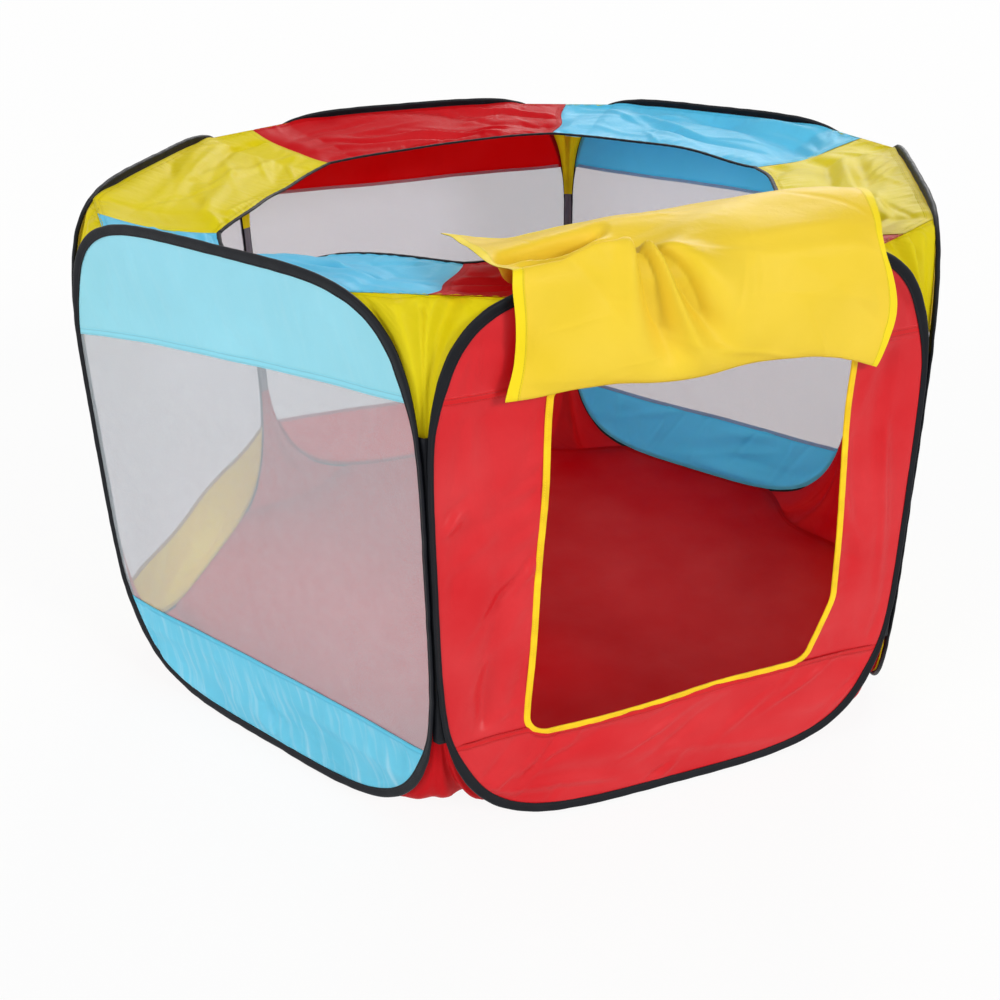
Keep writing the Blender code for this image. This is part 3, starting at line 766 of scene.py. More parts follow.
def tape_section(outside, inside):
    """Folded tape round the wire: a rounded nose, flanks that close on the cloth, and the same again inside.

    Given as (inset from the outer edge, offset from the middle plane) for each station's two flank widths.
    """
    nose, cloth = 0.0030, 0.0007
    bend = np.linspace(0.0, math.pi / 2, 6)[:-1]
    flank = np.linspace(0.0, 1.0, 8)
    flip = np.array((1.0, -1.0))

    def half(radius, mouth, width):
        width = width[:, None]
        closing = radius + (mouth - radius) * smooth(flank * 1.08)
        groove = 0.00045 * bell(width * (1 - flank) - 0.0026, 0.0013)
        inset = np.hstack((nose - radius * np.cos(bend) + 0 * width, nose + (width - nose) * flank))
        offset = np.hstack((radius * np.sin(bend) + 0 * width, closing - groove))
        return stacked(inset, offset)

    skin, lining = (nose, 0.0013), (nose - cloth, 0.0006)
    return np.hstack((half(*skin, inside)[:, ::-1], half(*skin, outside)[:, 1:] * flip,
                      half(*lining, outside)[:, :0:-1] * flip, half(*lining, inside)))


def make_binding(panel):
    """The folded edge tape: its section carried round the outline, with a sewn strip up each corner.

    Along the uprights the section leans by half the pen's corner angle, so that neighbours meet flat.
    """
    name = PANELS[panel]
    across, up, slope, distance = outline_path(320)
    steepness = np.abs(up) / HALF_HEIGHT
    narrow, broad, hidden = sizes().tape_side_width, sizes().tape_width, 0.0065
    width = narrow + (broad - narrow) * smooth((steepness - 0.50) / 0.25)
    inside = hidden + (broad - hidden) * smooth((VISOR_HOLD - np.abs(across)) / 0.03) * (up > 0)
    draw = np.random.default_rng(200 + panel)
    phase = math.tau * distance[:-1] / distance[-1]
    shift, lift, puff = 0.0, 0.0, 0.0
    for turns in (7, 12, 19, 31, 53, 76):
        wave = np.sin(phase * turns + draw.uniform(0, math.tau))
        other = np.sin(phase * (turns + 2) + draw.uniform(0, math.tau))
        shift = shift + 0.00022 * wave
        lift = lift + 0.00012 * other
        puff = puff + 0.012 * wave * other
    section = tape_section(width * (1.0 + 50 * shift), inside)
    section[..., 1] *= 1.0 + puff[:, None]
    edge = width[:, None] - section[..., 0]
    upright = smooth((0.80 - steepness) / 0.25)[:, None]
    section[..., 0] += (section[..., 1] * math.tan(TURN / 2) - 0.0005) * upright
    inwards = stacked(-slope[:, 0], 0.0, -slope[:, 1])
    centre = stacked(across, MID_PLANE + lift, PANEL_MIDDLE + up)
    centre = centre + inwards * (0.0003 - shift[:, None] * 0.5)
    parts = [swept(panel, centre, inwards, INWARD, section, distance, edge, closed=True)]
    parts += upright_strips(panel, *TAPE_STRIP)
    fit_piece(add_tube("binding_" + name, parts, "tape"), ["sleeve_" + name], "panel_" + name)


def upright_strips(panel, low, high, half, inward):
    """Flat strips up both sides of a panel, at its corner lines: a thin rounded bar, swept upwards."""
    height = np.linspace(low, high, 60)
    girth = np.linspace(0, math.tau, 12, endpoint=False)
    parts = []
    for side in (-1, 1):
        reach = (half + 0.0002 * np.sin(height * 60 + panel * 2 + side))[:, None]
        strip = signed(np.cos(girth), 0.7) * reach
        middle = stacked(side * (PANEL_SPACING / 2 - reach[:, 0]), inward, height)
        section = stacked(strip, signed(np.sin(girth), 0.7) * 0.0005)
        parts.append(swept(panel, middle, ALONG, INWARD, section, height, reach - np.abs(strip)))
    return parts


def make_seam_strips(panel):
    """Grey webbing sewn over the tape inside the pen, up both sides of a panel."""
    name = PANELS[panel]
    obj = add_tube("seam_strips_" + name, upright_strips(panel, *WEBBING_STRIP), "webbing")
    fit_piece(obj, ["sleeve_" + name], "panel_" + name)


def seam_line(panel, across, upper):
    """Height of a panel's upper or lower seam at an x, with the slight curve of a sewn line."""
    name = PANELS[panel]
    wander = 0.0006 * np.sin(across * 19 + panel) + 0.0002 * np.sin(across * 57 + 2 * panel)
    if name == "door":
        return (HINGE_HEIGHT if upper else DOOR_SEAM) + wander * 0.5 * (0.0 if upper else 1.0)
    if upper and name == "front_left":
        return UPPER_SEAM + FRONT_LEFT_RISE * across - 0.008 * (across / HALF_WIDTH) ** 2 + 0.003 + wander
    return (UPPER_SEAM if upper else LOWER_SEAM) + wander


def opening_path(margin, count):
    """The door opening's rounded outline at equal steps, grown by margin: points and distances."""
    corners = np.array(OPENING_CORNERS) + margin * np.array(
        ((-1, -1), (0.5, -1), (1, -0.5), (1, 1), (-1, 1)))
    path = []
    for number, corner in enumerate(corners):
        back = corners[number - 1] - corner
        ahead = corners[(number + 1) % len(corners)] - corner
        back, ahead = unit(back), unit(ahead)
        half = math.acos(float(back @ ahead)) / 2
        radius = OPENING_RADII[number] + margin
        middle = unit(back + ahead)
        centre = corner + middle * radius / math.sin(half)
        spread = np.linspace(-1, 1, 24) * (math.pi / 2 - half)
        aim = math.atan2(-middle[1], -middle[0]) + spread
        path.append(centre + radius * stacked(np.cos(aim), np.sin(aim)))
    path = np.concatenate(path + [path[0][:1]])
    travel = travelled(path)
    places = np.linspace(0.0, travel[-1], count + 1)
    across, up = (np.interp(places, travel, path[:, axis]) for axis in (0, 1))
    return across, up + PANEL_FOOT, places


def opening_edge(up, side):
    """x of the door opening's left or right edge at a height, along the middle of its piping."""
    across, height, _ = opening_path(PIPING_WIDTH / 2, 900)
    mine = (across - 0.01) * side > 0
    order = np.argsort(height[mine])
    return np.interp(up, height[mine][order], across[mine][order])


def opening_foot(across):
    """Height of the door opening's lower edge at an x, or the seam's height outside the opening."""
    places, height, _ = opening_path(PIPING_WIDTH / 2, 900)
    low = height < DOOR_SEAM + 0.0002
    order = np.argsort(places[low])
    return np.interp(across, places[low][order], height[low][order], left=DOOR_SEAM, right=DOOR_SEAM)


def add_panel_sheet(panel, node, across, up, out, edge, finish, slot, thickness=None):
    """A sheet in a panel's plane: y = middle plane + swell - out, held flat under the edge tape."""
    hold = smooth((outline_depth(across, up) - 0.0105) / 0.014)
    inward = MID_PLANE + panel_swell(panel, across, up) - out * hold
    flat_map = stacked(across, up)
    points = placed(stacked(across, inward, up), panel)
    obj = add_sheet("dressed_" + node, points, flat_map, edge, finish, thickness)
    fit_piece(obj, [node], "panel_" + PANELS[panel])
    declare_sheet(flat_map)


def band_creases(panel, across, up, depth, upper):
    """Faint upright creases on the upper bands and longer slanting ones on the lower bands."""
    seed = 300 + panel * 10 + upper
    lean = 38 if PANELS[panel] == "door" else 105
    kinds = ((26, 0.050, 0.0045, 0.0011, 82, 0.4), (7, 0.08, 0.012, 0.0020, -30, 0.6)) if upper else (
        (26, 0.050, 0.0050, 0.0026, lean, 0.35), (12, 0.11, 0.012, 0.0036, 165, 0.3))
    creases = sum(pulls(seed + step, across, up, *kind) for step, kind in zip((0, 500), kinds))
    return creases + gathers(seed + 900, across, depth, 0.019, 0.0006, 0.014)


def make_band(panel, upper):
    """A band of cloth between a seam and the tape: x by the sine of equal steps, z in equal shares."""
    name = PANELS[panel]
    columns, rows, reach = 150, 40, 0.985
    steps = np.linspace(-reach, reach, columns)[None, :]
    spread = np.sin(steps * math.pi / 2) / math.sin(reach * math.pi / 2)
    left, right = (float(outline_width(seam_line(panel, end, upper), CLOTH_INSET)) for end in (-0.306, 0.306))
    across = 0.9985 * spread * np.where(spread < 0, left, right)
    seam = opening_foot(across) if name == "door" and not upper else seam_line(panel, across, upper)
    way, power = (1, TOP_SQUARENESS) if upper else (-1, BOTTOM_SQUARENESS)
    limit = PANEL_MIDDLE + way * outline_height(across, CLOTH_INSET, power)
    up = seam + way * np.maximum(np.abs(limit - seam), 0.0008) * np.linspace(0.0, 1.0, rows)[:, None]
    across = np.broadcast_to(across, up.shape)
    depth = np.abs(up - seam)
    hem = 0.0006 * (1 - smooth((depth - sizes().hem_width + 0.002) / 0.003))
    out = hem + 0.0002 + band_creases(panel, across, up, depth, upper) * smooth(depth / 0.014)
    grids = (part[::way] for part in (across, up, out, depth))
    colour = PANEL_COLOUR[name]
    finish = BAND_FINISHES.get(name, (colour, colour))[upper]
    node = ("upper_band_" if upper else "lower_band_") + name
    add_panel_sheet(panel, node, *grids, finish, "cloth_" + colour)


def make_net(panel):
    """Netting between the two seams, a little behind the bands it is sewn to."""
    name = PANELS[panel]
    lap, back = 0.006, 0.0008
    share = np.linspace(-1, 1, 90)[None, :]
    low = seam_line(panel, 0.300 * share, False) - lap
    high = seam_line(panel, 0.300 * share, True) + lap
    up = low + (high - low) * np.linspace(0, 1, 70)[:, None]
    across = outline_width(up, CLOTH_INSET) * share
    depth = np.minimum(up - low, high - up)
    hold = smooth(depth / 0.02)
    out = drift(700 + panel, across, up, 0.09, 0.0005) - back
    out += pulls(720 + panel, across, up, 8, 0.12, 0.014, 0.0008, 60, 0.9)
    out = out * hold - back * (1 - hold)
    # The nets behind the front left one take a darker copy of the netting colour: painted shade
    finish = "netting" if name == "front_left" else "inner_netting"
    add_panel_sheet(panel, "net_" + name, across, up, out, depth + 1.0, finish, "netting",
                    sizes().net_thickness)


def make_door_side(side):
    """Cloth beside the door opening: rows from the opening's edge to the tape."""
    rows, columns = 110, 34
    up = np.linspace(DOOR_SEAM - 0.004, HINGE_HEIGHT, rows)[:, None]
    near, far = opening_edge(up, side), side * outline_width(up, CLOTH_INSET)
    across = near + (far - near) * np.linspace(0, 1, columns)[None, :]
    up = np.broadcast_to(up, across.shape)
    depth, aside = up - DOOR_SEAM, np.abs(across - near)
    seed = 340 + side
    creases = pulls(seed, across, up, 12, 0.12, 0.011, 0.0036, 84, 0.25)
    creases += pulls(seed + 20, across, up, 14, 0.06, 0.008, 0.0034, -40 * side, 0.6)
    creases += gathers(seed + 40, across, depth, 0.022, 0.0010, 0.03)
    creases += gathers(seed + 60, up, aside, 0.022, 0.0006, 0.018)
    fade = smooth(aside / 0.012) * smooth(depth / 0.022) * smooth((HINGE_HEIGHT - up) / 0.022)
    edge = np.where(depth < 0.02, depth + 1.0, 1.0)
    grids = (part[:, ::side] for part in (across, up, creases * fade - 0.0007, edge))
    add_panel_sheet(0, "door_side_" + ("left" if side < 0 else "right"), *grids, "door_red", "cloth_red")


def make_piping():
    """Folded tape round the door opening: a flat oval section with a fuller inner edge."""
    across, up, distance = opening_path(PIPING_WIDTH / 2, 420)
    across, up, travel = across[:-1], up[:-1], distance[:-1]
    tangent = unit(stacked(np.roll(across, -1) - np.roll(across, 1), np.roll(up, -1) - np.roll(up, 1)))
    outwards = stacked(tangent[:, 1], 0.0, -tangent[:, 0])
    girth = np.linspace(0, math.tau, 18, endpoint=False)
    wide = signed(np.cos(girth), 0.75) * PIPING_WIDTH / 2
    thick = signed(np.sin(girth), 0.75) * (0.00155 - 0.00035 * np.cos(girth))
    wobble = 0.0003 * np.sin(travel * 52) + 0.0001 * np.sin(travel * 211 + 1)
    centre = stacked(across, MID_PLANE + panel_swell(0, across, up) + wobble, up)
    centre = centre + outwards * (0.0002 * np.sin(travel * 31 + 2))[:, None]
    section = stacked(wide, thick)
    part = swept(0, centre, outwards, INWARD, section, distance, PIPING_WIDTH / 2 - wide, closed=True)
    fit_piece(add_tube("dressed_door_piping", [part], "piping"), ["door_piping"], "panel_door")


def rim_place(panel, share, outset):
    """The rim: a rounded hexagon of radius r / cos(angle)^0.5 about the pen's axis, with a slight wave.

    It hangs below its height by a sum of bells over the bearing, and is drawn out where it is slack.
    """
    angle = share * TURN / 2
    bearing = within_turn(math.radians(-90) + TURN * panel + angle)

    def swell(middle, width, size):
        return size * bell(within_turn(bearing - math.radians(middle)), math.radians(width))

    wave = 0.0012 * np.sin(bearing * 9 + 1.0) + 0.0008 * np.sin(bearing * 17)
    radius = RIM_RADIUS / np.cos(np.clip(angle, -TURN / 2, TURN / 2)) ** 0.5 + outset + wave
    radius = radius + swell(*RIM_SLACK)
    height = RIM_HEIGHT - sum(swell(*sag) for sag in RIM_SAGS) + 0.0012 * np.sin(bearing * 7)
    return stacked(radius * np.sin(angle), APOTHEM - radius * np.cos(angle), height)


def visor_edge(share):
    """Outer edge of a visor section: on the tape's inner face, then straight across the corner."""
    contact = station(TOP_CONTACT, 0.003)[0]
    slope = math.tan(TURN / 2)
    mitre = PANEL_SPACING / 2 * math.tan(TURN)
    across = share * (mitre + contact * slope) / (math.tan(TURN) + slope)
    before = contact - np.abs(across)
    below = 0.0035 + 0.0080 * smooth(before / 0.08)
    up = PANEL_MIDDLE + outline_height(np.minimum(np.abs(across), contact), 0.0, TOP_SQUARENESS) - below
    return stacked(across, np.maximum(-before, 0.0) * slope + 0.0008 * smooth(before / 0.02), up)


def visor_folds(panel, across, share, along, depth):
    """Long folds along a visor section that meet at one end, with gathers at the rim and the tape."""
    seed, lean = 400 + panel * 7, VISOR_LEAN[panel]
    folds = pulls(seed, across, depth, 10, 0.17, 0.010, 0.0056, lean, 0.16)
    folds += pulls(seed + 50, across, depth, 14, 0.07, 0.006, 0.0026, lean, 0.7)
    folds += drift(seed + 90, across, depth, 0.14, 0.0034)
    ends = smooth((1.0 - np.abs(share)) / 0.10)
    rim_gap = depth[-1:] - depth
    edges = smooth(depth / 0.02) * smooth(rim_gap / 0.02)
    gathered = gathers(seed + 120, across, rim_gap, 0.021, 0.0011, 0.022) * smooth(rim_gap / 0.006)
    gathered += gathers(seed + 140, across, depth, 0.018, 0.0009, 0.020) * smooth(depth / 0.006)
    mitre = -0.0016 * bell(1.0 - np.abs(share), 0.035) * np.sin(math.pi * along)
    return folds * ends * edges + gathered * ends + mitre


def visor_grid(panel, lap):
    """Straight lines from the panel's top to the rim, sagging between, reaching lap past its right end."""
    columns, rows = 150, 46
    share = np.linspace(-1.0, 1.0 + lap, columns)[None, :]
    along = np.linspace(0.0, 1.0, rows)[:, None]
    outer, inner = visor_edge(share[0]), rim_place(panel, share[0], 0.0008)
    points = outer[None] + (inner - outer)[None] * along[..., None]
    sag = np.sin(math.pi * along)
    points[..., 2] -= VISOR_SAG * sag
    points[..., 0] += 0.006 * sag * np.sin(2.2 * math.pi * along + 0.7) * smooth((np.abs(share) - 0.6) / 0.4)
    depth = np.linalg.norm(inner - outer, axis=-1)[None] * along
    return points, *np.broadcast_arrays(share, along), depth


def make_visor(panel):
    """One visor section, its right end under the next one."""
    name, colour = PANELS[panel], PANEL_COLOUR[PANELS[panel]]
    points, share, along, depth = visor_grid(panel, VISOR_LAP)
    points = raised(points, visor_folds(panel, points[..., 0], share, along, depth))
    points[..., 2] -= 0.0009 * smooth((share - 0.985) / 0.012)
    across = points[..., 0]
    side = np.minimum((1.0 + share) * np.abs(across).max(axis=1, keepdims=True), 1.0)
    edge = np.minimum(np.minimum(side, depth[-1:] - depth), depth)
    flat_map = stacked(across, depth)
    obj = add_sheet("dressed_visor_" + name, placed(points, panel), flat_map, edge, colour)
    fit_piece(obj, ["visor_" + name], "panel_" + name)
    declare_sheet(flat_map)
    flatten(obj, panel)


def make_rim(panel):
    """A panel's stretch of the elastic rim: an oval whose size varies a little, carried along the rim."""
    name, width = PANELS[panel], sizes().rim_width
    centre = rim_place(panel, np.linspace(-1.004, 1.004, 110), 0.0)
    outwards = unit(np.cross(unit(np.gradient(centre, axis=0)), UPRIGHT))
    distance = travelled(centre)
    girth = np.linspace(0, math.tau, 14, endpoint=False)
    oval = stacked(np.cos(girth) * width / 2, np.sin(girth) * width * 0.30)
    bunch = 1.0 + 0.05 * np.sin(distance * 390) + 0.04 * np.sin(distance * 241 + panel)
    edge = width / 2 - np.abs(oval[:, 0])
    part = swept(panel, centre, outwards, UPRIGHT, oval * bunch[:, None, None], distance, edge)
    obj = add_tube("rim_" + name, [part], "elastic")
    fit_piece(obj, ["visor_rim"], "panel_" + name)
    flatten(obj, panel)


def flatten(obj, panel):
    """Gives the piece a mesh of its own."""
    anchor, ahead = placed(((0.0, 0.0, PANEL_MIDDLE), (0.0, 1.0, PANEL_MIDDLE)), panel)
    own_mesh(obj)


def gusset_grid(corner, low, high, rows, shares):
    """Ruled surface between the facing edges of two panels, from one superellipse angle to another."""
    degrees = np.linspace(low, high, rows)
    insets = 0.0042 + 0.0030 * smooth((60 - np.abs(degrees)) / 12)
    across, up = np.moveaxis(station(np.radians(degrees), insets), -1, 0)
    left = placed(stacked(across, 0.0008, up), corner - 1)
    right = placed(stacked(-across, 0.0008, up), corner)
    return left[:, None] + (right - left)[:, None] * shares[..., None]


def make_gusset(corner, upper, first=0.0, last=1.0, panel=None):
    """A gusset with creases that fan out from its narrow end and gathers at its wide end.

    Its creases are a sum of waves across it.
    """
    rows, columns = 64, 60
    share, along = np.linspace(first, last, columns)[None, :], np.linspace(0, 1, rows)[:, None]
    points = gusset_grid(corner, *(UPPER_GUSSET if upper else LOWER_GUSSET), rows, share)
    post = placed((-PANEL_SPACING / 2, 0.0, 0.0), corner)
    inward = unit(-post)
    wide_end = along if upper else 1.0 - along
    chord = np.linalg.norm(points[:, -1] - points[:, 0], axis=-1)[:, None]
    crown = np.sin(math.pi * share)
    hold = crown**0.5
    draw = np.random.default_rng(600 + corner * 2 + upper)
    fan = 0.0
    for turns in (0.9, 1.7, 2.9, 4.3):
        lean = draw.uniform(-0.5, 0.5)
        wave = np.sin(math.tau * turns * (share + 0.12 * lean * (1 - wide_end)) + draw.uniform(0, math.tau))
        fan = fan + wave / turns**0.75
    depth = 0.0098 * smooth(chord / 0.13) * sizes().crease_height
    out = depth * signed(fan, 0.8) * hold * smooth((1.02 - wide_end) / 0.10)
    out = out + gathers(640 + corner, share * chord, (1 - wide_end) * 0.16, 0.014, 0.0016, 0.03) * hold
    sink = crown * (0.0 if upper else smooth((wide_end - 0.55) / 0.45))
    sag = 0.005 * crown * np.sin(math.pi * along)
    points = points + inward * (sag + 0.027 * sink - out)[..., None]
    points[..., 2] -= 0.0050 * sink**0.5
    flat_map = unrolled(points)
    edge = (1.0 - wide_end) * flat_map[..., 1].max() + 0 * share
    colour = "yellow" if upper else "red"
    name = f"{'top' if upper else 'bottom'}_gusset_{corner + 1}"
    half = "" if panel is None else "_" + PANELS[panel]
    obj = add_sheet("dressed_" + name + half, points, flat_map, edge, colour)
    fit_piece(obj, [name], "panel" + half if half else None)
    declare_sheet(flat_map)
    if half:
        flatten(obj, panel)
        return
    middle = points[rows // 2]
    sideways = np.array((-inward[1], inward[0], 0.0))
    sideways = 0.028 * sideways * np.sign(sideways @ (middle[-1] - middle[0]))
    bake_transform(obj)


# The flap's shape: key points of its section, from its sewn edge to its free edge, at nine places across.
# Each table has a row for each key point, in tenths of a millimetre: how far it is moved sideways, its
# distance inwards and its height. A fold of the fan is its angle and width in degrees, and its size.
FLAP_ACROSS = np.array((-0.214, -0.165, -0.113, -0.060, 0.000, 0.070, 0.140, 0.200, 0.243))
FLAP_ROWS = (0.0, 0.06, 0.19, 0.30, 0.372, 0.404, 0.445, 0.52, 0.66, 0.82, 1.0)
FLAP_SIDEWAYS = (
    (-40, 0, 0, 0, 0, 0, 0, 0, -120),
    (-120, 0, 0, 0, 0, 0, 0, -40, -180),
    (-20, 0, 0, 0, 0, 0, 0, -20, -20),
    (0, 0, 0, 0, 0, 0, -20, -60, -140),
    (-20, 0, 0, 0, 0, -20, -40, -100, -240),
    (10, 20, 20, 0, 0, -20, -40, -90, -240),
    (60, 40, 40, 40, 20, 0, -20, -60, -180),
    (0, 0, 40, 100, 60, 20, 0, -30, -100),
    (-10, 0, 40, 100, 80, 40, 30, 40, 60),
    (0, 40, 40, 40, 40, 40, 60, 80, 100),
    (-40, 200, 120, 60, 60, 60, 80, 120, 180),
)
FLAP_INWARD = (
    (-90, -52, -50, -48, -48, -48, -48, -60, -110),
    (-160, -190, -220, -260, -280, -250, -210, -190, -170),
    (-175, -225, -270, -330, -370, -340, -290, -240, -190),
    (-170, -190, -190, -220, -280, -280, -260, -230, -190),
    (-155, -140, -130, -110, -100, -120, -130, -150, -170),
    (-80, -60, -60, -10, 20, 20, 20, -10, -70),
    (80, 90, 90, 150, 200, 180, 160, 120, 60),
    (400, 380, 380, 440, 480, 460, 420, 360, 280),
    (980, 1000, 1000, 1020, 1030, 1000, 920, 820, 740),
    (1560, 1550, 1600, 1650, 1680, 1650, 1580, 1500, 1440),
    (2080, 2160, 2300, 2400, 2450, 2420, 2360, 2300, 2240),
)
FLAP_HEIGHT = (
    (5740, 5750, 5748, 5748, 5748, 5748, 5748, 5680, 5560),
    (5730, 5745, 5765, 5735, 5725, 5770, 5715, 5570, 5450),
    (6150, 6200, 6240, 6150, 6140, 6200, 6200, 6120, 6050),
    (6620, 6660, 6720, 6640, 6620, 6660, 6650, 6620, 6560),
    (6960, 7010, 7080, 6980, 6980, 6990, 6980, 6940, 6800),
    (7060, 7120, 7250, 7090, 7070, 7100, 7100, 7060, 6940),
    (7030, 7000, 7080, 7060, 7120, 7160, 7170, 7140, 7050),
    (6990, 6830, 6820, 6960, 7150, 7220, 7250, 7240, 7190),
    (6985, 6990, 7060, 7120, 7165, 7230, 7290, 7310, 7270),
    (6960, 6900, 6930, 6970, 7000, 7040, 7080, 7080, 7030),
    (6930, 6770, 6750, 6770, 6780, 6790, 6790, 6760, 6700),
)
FLAP_PEAK = (-0.077, 0.246)
FLAP_FAN = ((-12, 7, 0.8), (-0.5, 5.2, -1.4), (8.2, 3.3, 1.1), (16, 4.4, -1.3), (27, 9, 0.8), (48, 10, -0.4),
            (68, 9, 0.35), (84, 9, -0.3))
# The share of the rows that the front leaf takes, and for each leaf the bodies it bends between and
# where the bend starts and ends, in the door's axes
FLAP_SPLIT = 0.335
FLAP_LEAVES = (
    ("front", "panel_door", "flap_front", (0.0, -0.018, HINGE_HEIGHT), (0.0, -0.018, HINGE_HEIGHT + 0.030)),
    ("top", "flap_front", "flap_top", (0.0, -0.011, 0.7033), (0.0, 0.169, 0.7033)),
)


def flap_surface(columns, rows):
    """The whole flap: a smooth surface through the key points, with folds fanning out from its peak.

    A fold's height is a sum of bells over the angle at the peak, growing with the distance from it, and
    it sinks no deeper near the ridge than the frame under it allows. A sharp crest, exp(-distance), runs
    from the peak to the left edge, with a bell-shaped valley behind it.
    """
    keys = stacked(FLAP_ACROSS + np.array(FLAP_SIDEWAYS) / 1e4, np.array(FLAP_INWARD) / 1e4,
                   np.array(FLAP_HEIGHT) / 1e4)
    spread, places = np.linspace(0.0, 1.0, columns), np.linspace(0.0, 1.0, rows)
    marks = (FLAP_ACROSS - FLAP_ACROSS[0]) / (FLAP_ACROSS[-1] - FLAP_ACROSS[0])
    wide = through(marks, np.swapaxes(keys, 0, 1), spread)
    points = through(FLAP_ROWS, np.swapaxes(wide, 0, 1), places)
    flat_map = unrolled(points)
    side, length = points[..., 0], flat_map[..., 1]
    sideways, down = side - FLAP_PEAK[0], FLAP_PEAK[1] - length
    radius = np.hypot(sideways, down)
    aim = np.degrees(np.arctan2(sideways, down)) - 50 * radius
    fan = sum(size * bell(aim - middle, width) for middle, width, size in FLAP_FAN)
    grow = 0.0128 * smooth(radius / 0.045) * (1 - 0.8 * smooth((radius - 0.13) / 0.10))
    grow = grow * smooth((length - 0.015) / 0.05) * (1 - 0.85 * smooth((length - 0.150) / 0.045))
    deepest = -0.0042 - 0.22 * np.maximum(np.abs(length - 0.145) - 0.012, 0)
    behind = length - 0.229 - 0.17 * (side + 0.19)
    reach = smooth((side + 0.212) / 0.04) * smooth((-0.058 - side) / 0.035)
    crest = (0.014 * np.exp(-np.abs(behind) / 0.012) - 0.034 * bell(behind - 0.019, 0.0095)) * reach
    pouch = 0.004 * bell(side - 0.010, 0.055) * bell(length - 0.055, 0.022)
    creases = pulls(811, side, length, 16, 0.09, 0.006, 0.0014, -28, 0.5)
    creases += pulls(812, side, length, 22, 0.035, 0.0035, 0.0007, 60, 1.2)
    creases += drift(813, side, length, 0.10, 0.0016)
    rim = np.minimum(np.minimum(spread, 1 - spread)[None] * 0.46, length.max() - length)
    hold = smooth(rim / 0.03)
    folds = np.maximum(grow * fan, deepest) + pouch + crest + creases
    sway = drift(814, side * 0.3, length, 0.07, 0.0012) * (1 - hold)
    return raised(points, folds * (0.25 + 0.75 * hold) * smooth(length / 0.03) + sway), flat_map, rim, places


def make_flap():
    """The door flap in two pieces, a front one and a top one over the ridge."""
    points, flat_map, edge, places = flap_surface(200, 190)
    normals = grid_normals(points)
    split = int(np.searchsorted(places, FLAP_SPLIT))
    for leaf, rows in zip(FLAP_LEAVES, (slice(None, split + 1), slice(split, None))):
        word, *bodies, start, end = leaf
        name = "flap_" + word
        obj = add_sheet("dressed_" + name, placed(points[rows], 0), flat_map[rows], edge[rows], "flap",
                        normals=normals[rows])
        fit_piece(obj, [name])
        declare_sheet(flat_map[rows])
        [tuple(place) for place in placed((start, end), 0)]
        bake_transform(obj)


def make_floor_part(panel):
    """A sixth of the floor sheet: rows from the pen's middle to the panel's foot, lying nearly flat.

    A row's distance out is its share of the straight foot, or of the line that cuts off the corner.
    """
    name = PANELS[panel]
    columns, rows, half, foot = 60, 60, 0.160, APOTHEM + 0.0022
    share = np.linspace(-1, 1, columns)[None, :]
    out = 0.001 + 0.999 * np.linspace(0.0, 1.0, rows)[:, None] ** 0.8
    corner = placed((half, APOTHEM - foot, 0.0), 0) + placed((-half, APOTHEM - foot, 0.0), 1)
    corner = np.hypot(*corner[:2]) / 2
    angle = share * TURN / 2
    aside = TURN / 2 - np.abs(angle)
    cut = corner / np.cos(aside) - 0.032 * smooth(1.0 - aside / (TURN / 2 - math.atan2(half, foot)))
    reach = out * np.minimum(foot / np.cos(angle), cut)
    across, inward = reach * np.sin(angle), APOTHEM - reach * np.cos(angle)
    x, y, _ = np.moveaxis(placed(stacked(across, inward, 0), panel), -1, 0)
    swell = 0.0006 + 0.0010 * np.abs(drift(500, x, y, 0.22, 1.0))
    tape = PANEL_MIDDLE - outline_height(np.minimum(np.abs(across), half), 0.0, BOTTOM_SQUARENESS) + 0.0062
    height = swell * smooth((1 - out) / 0.04) + 0.0004 + tape * smooth((out - 0.93) / 0.07)
    points = placed(stacked(across, inward, height), panel)
    flat_map = stacked(across, inward)
    edge = (1 - out) * foot + 0 * share
    down = np.broadcast_to((0.0, 0.0, -1.0), points.shape)
    obj = add_sheet("floor_" + name, points, flat_map, edge, "red", 0.0005, down)
    fit_piece(obj, ["floor"], "panel_" + name)
    declare_sheet(flat_map)
    flatten(obj, panel)


def see_through_rays(tree):
    """1 for rays that the camera, a reflection or a clear surface sends, 0 for the rays that light things."""
    camera = tree.add("LightPath", output="Is Camera Ray")
    outputs = camera.socket.node.outputs
    glossy, clear = (Value(tree, outputs[name]) for name in ("Is Glossy Ray", "Is Transmission Ray"))
    return (camera + glossy + clear).held()


def make_floor_and_sky():
    """A wide pale floor and a soft sky; both show as white and light the pen plainly."""
    material = bpy.data.materials.new("stage_floor")
    tree = Finish(material)
    tint = tuple(colours().floor)
    paint = tree.mix(tree.noise(3.0, 3.0) * 0.06, tint, tinted(tint, 0.94))
    white = tree.add("Emission", None, {"Color": WHITE, "Strength": 1.0})
    tree.finish(tree.mix_shaders(see_through_rays(tree) * 0.91, tree.principled(paint, 0.9), white))
    steps = np.linspace(-40.0, 40.0, 13)
    points = stacked(steps[None, :], steps[:, None], 0.0)
    faces = quads(numbered(*points.shape[:2]))
    flats = points.reshape(-1, 3)[faces][..., :2]
    mesh = build_mesh("stage_floor", points, faces.tolist(), flats, np.ones(points.shape[:2]))
    add_object("stage_floor", mesh, material)

    bpy.context.scene.world = bpy.data.worlds.new("soft_sky")
    sky = Finish(bpy.context.scene.world)
    plain, soft = (sky.add("Background", None, {"Color": WHITE, "Strength": strength})
                   for strength in (1.0, SKY_STRENGTH))
    sky.finish(sky.mix_shaders(see_through_rays(sky), soft, plain), "World")


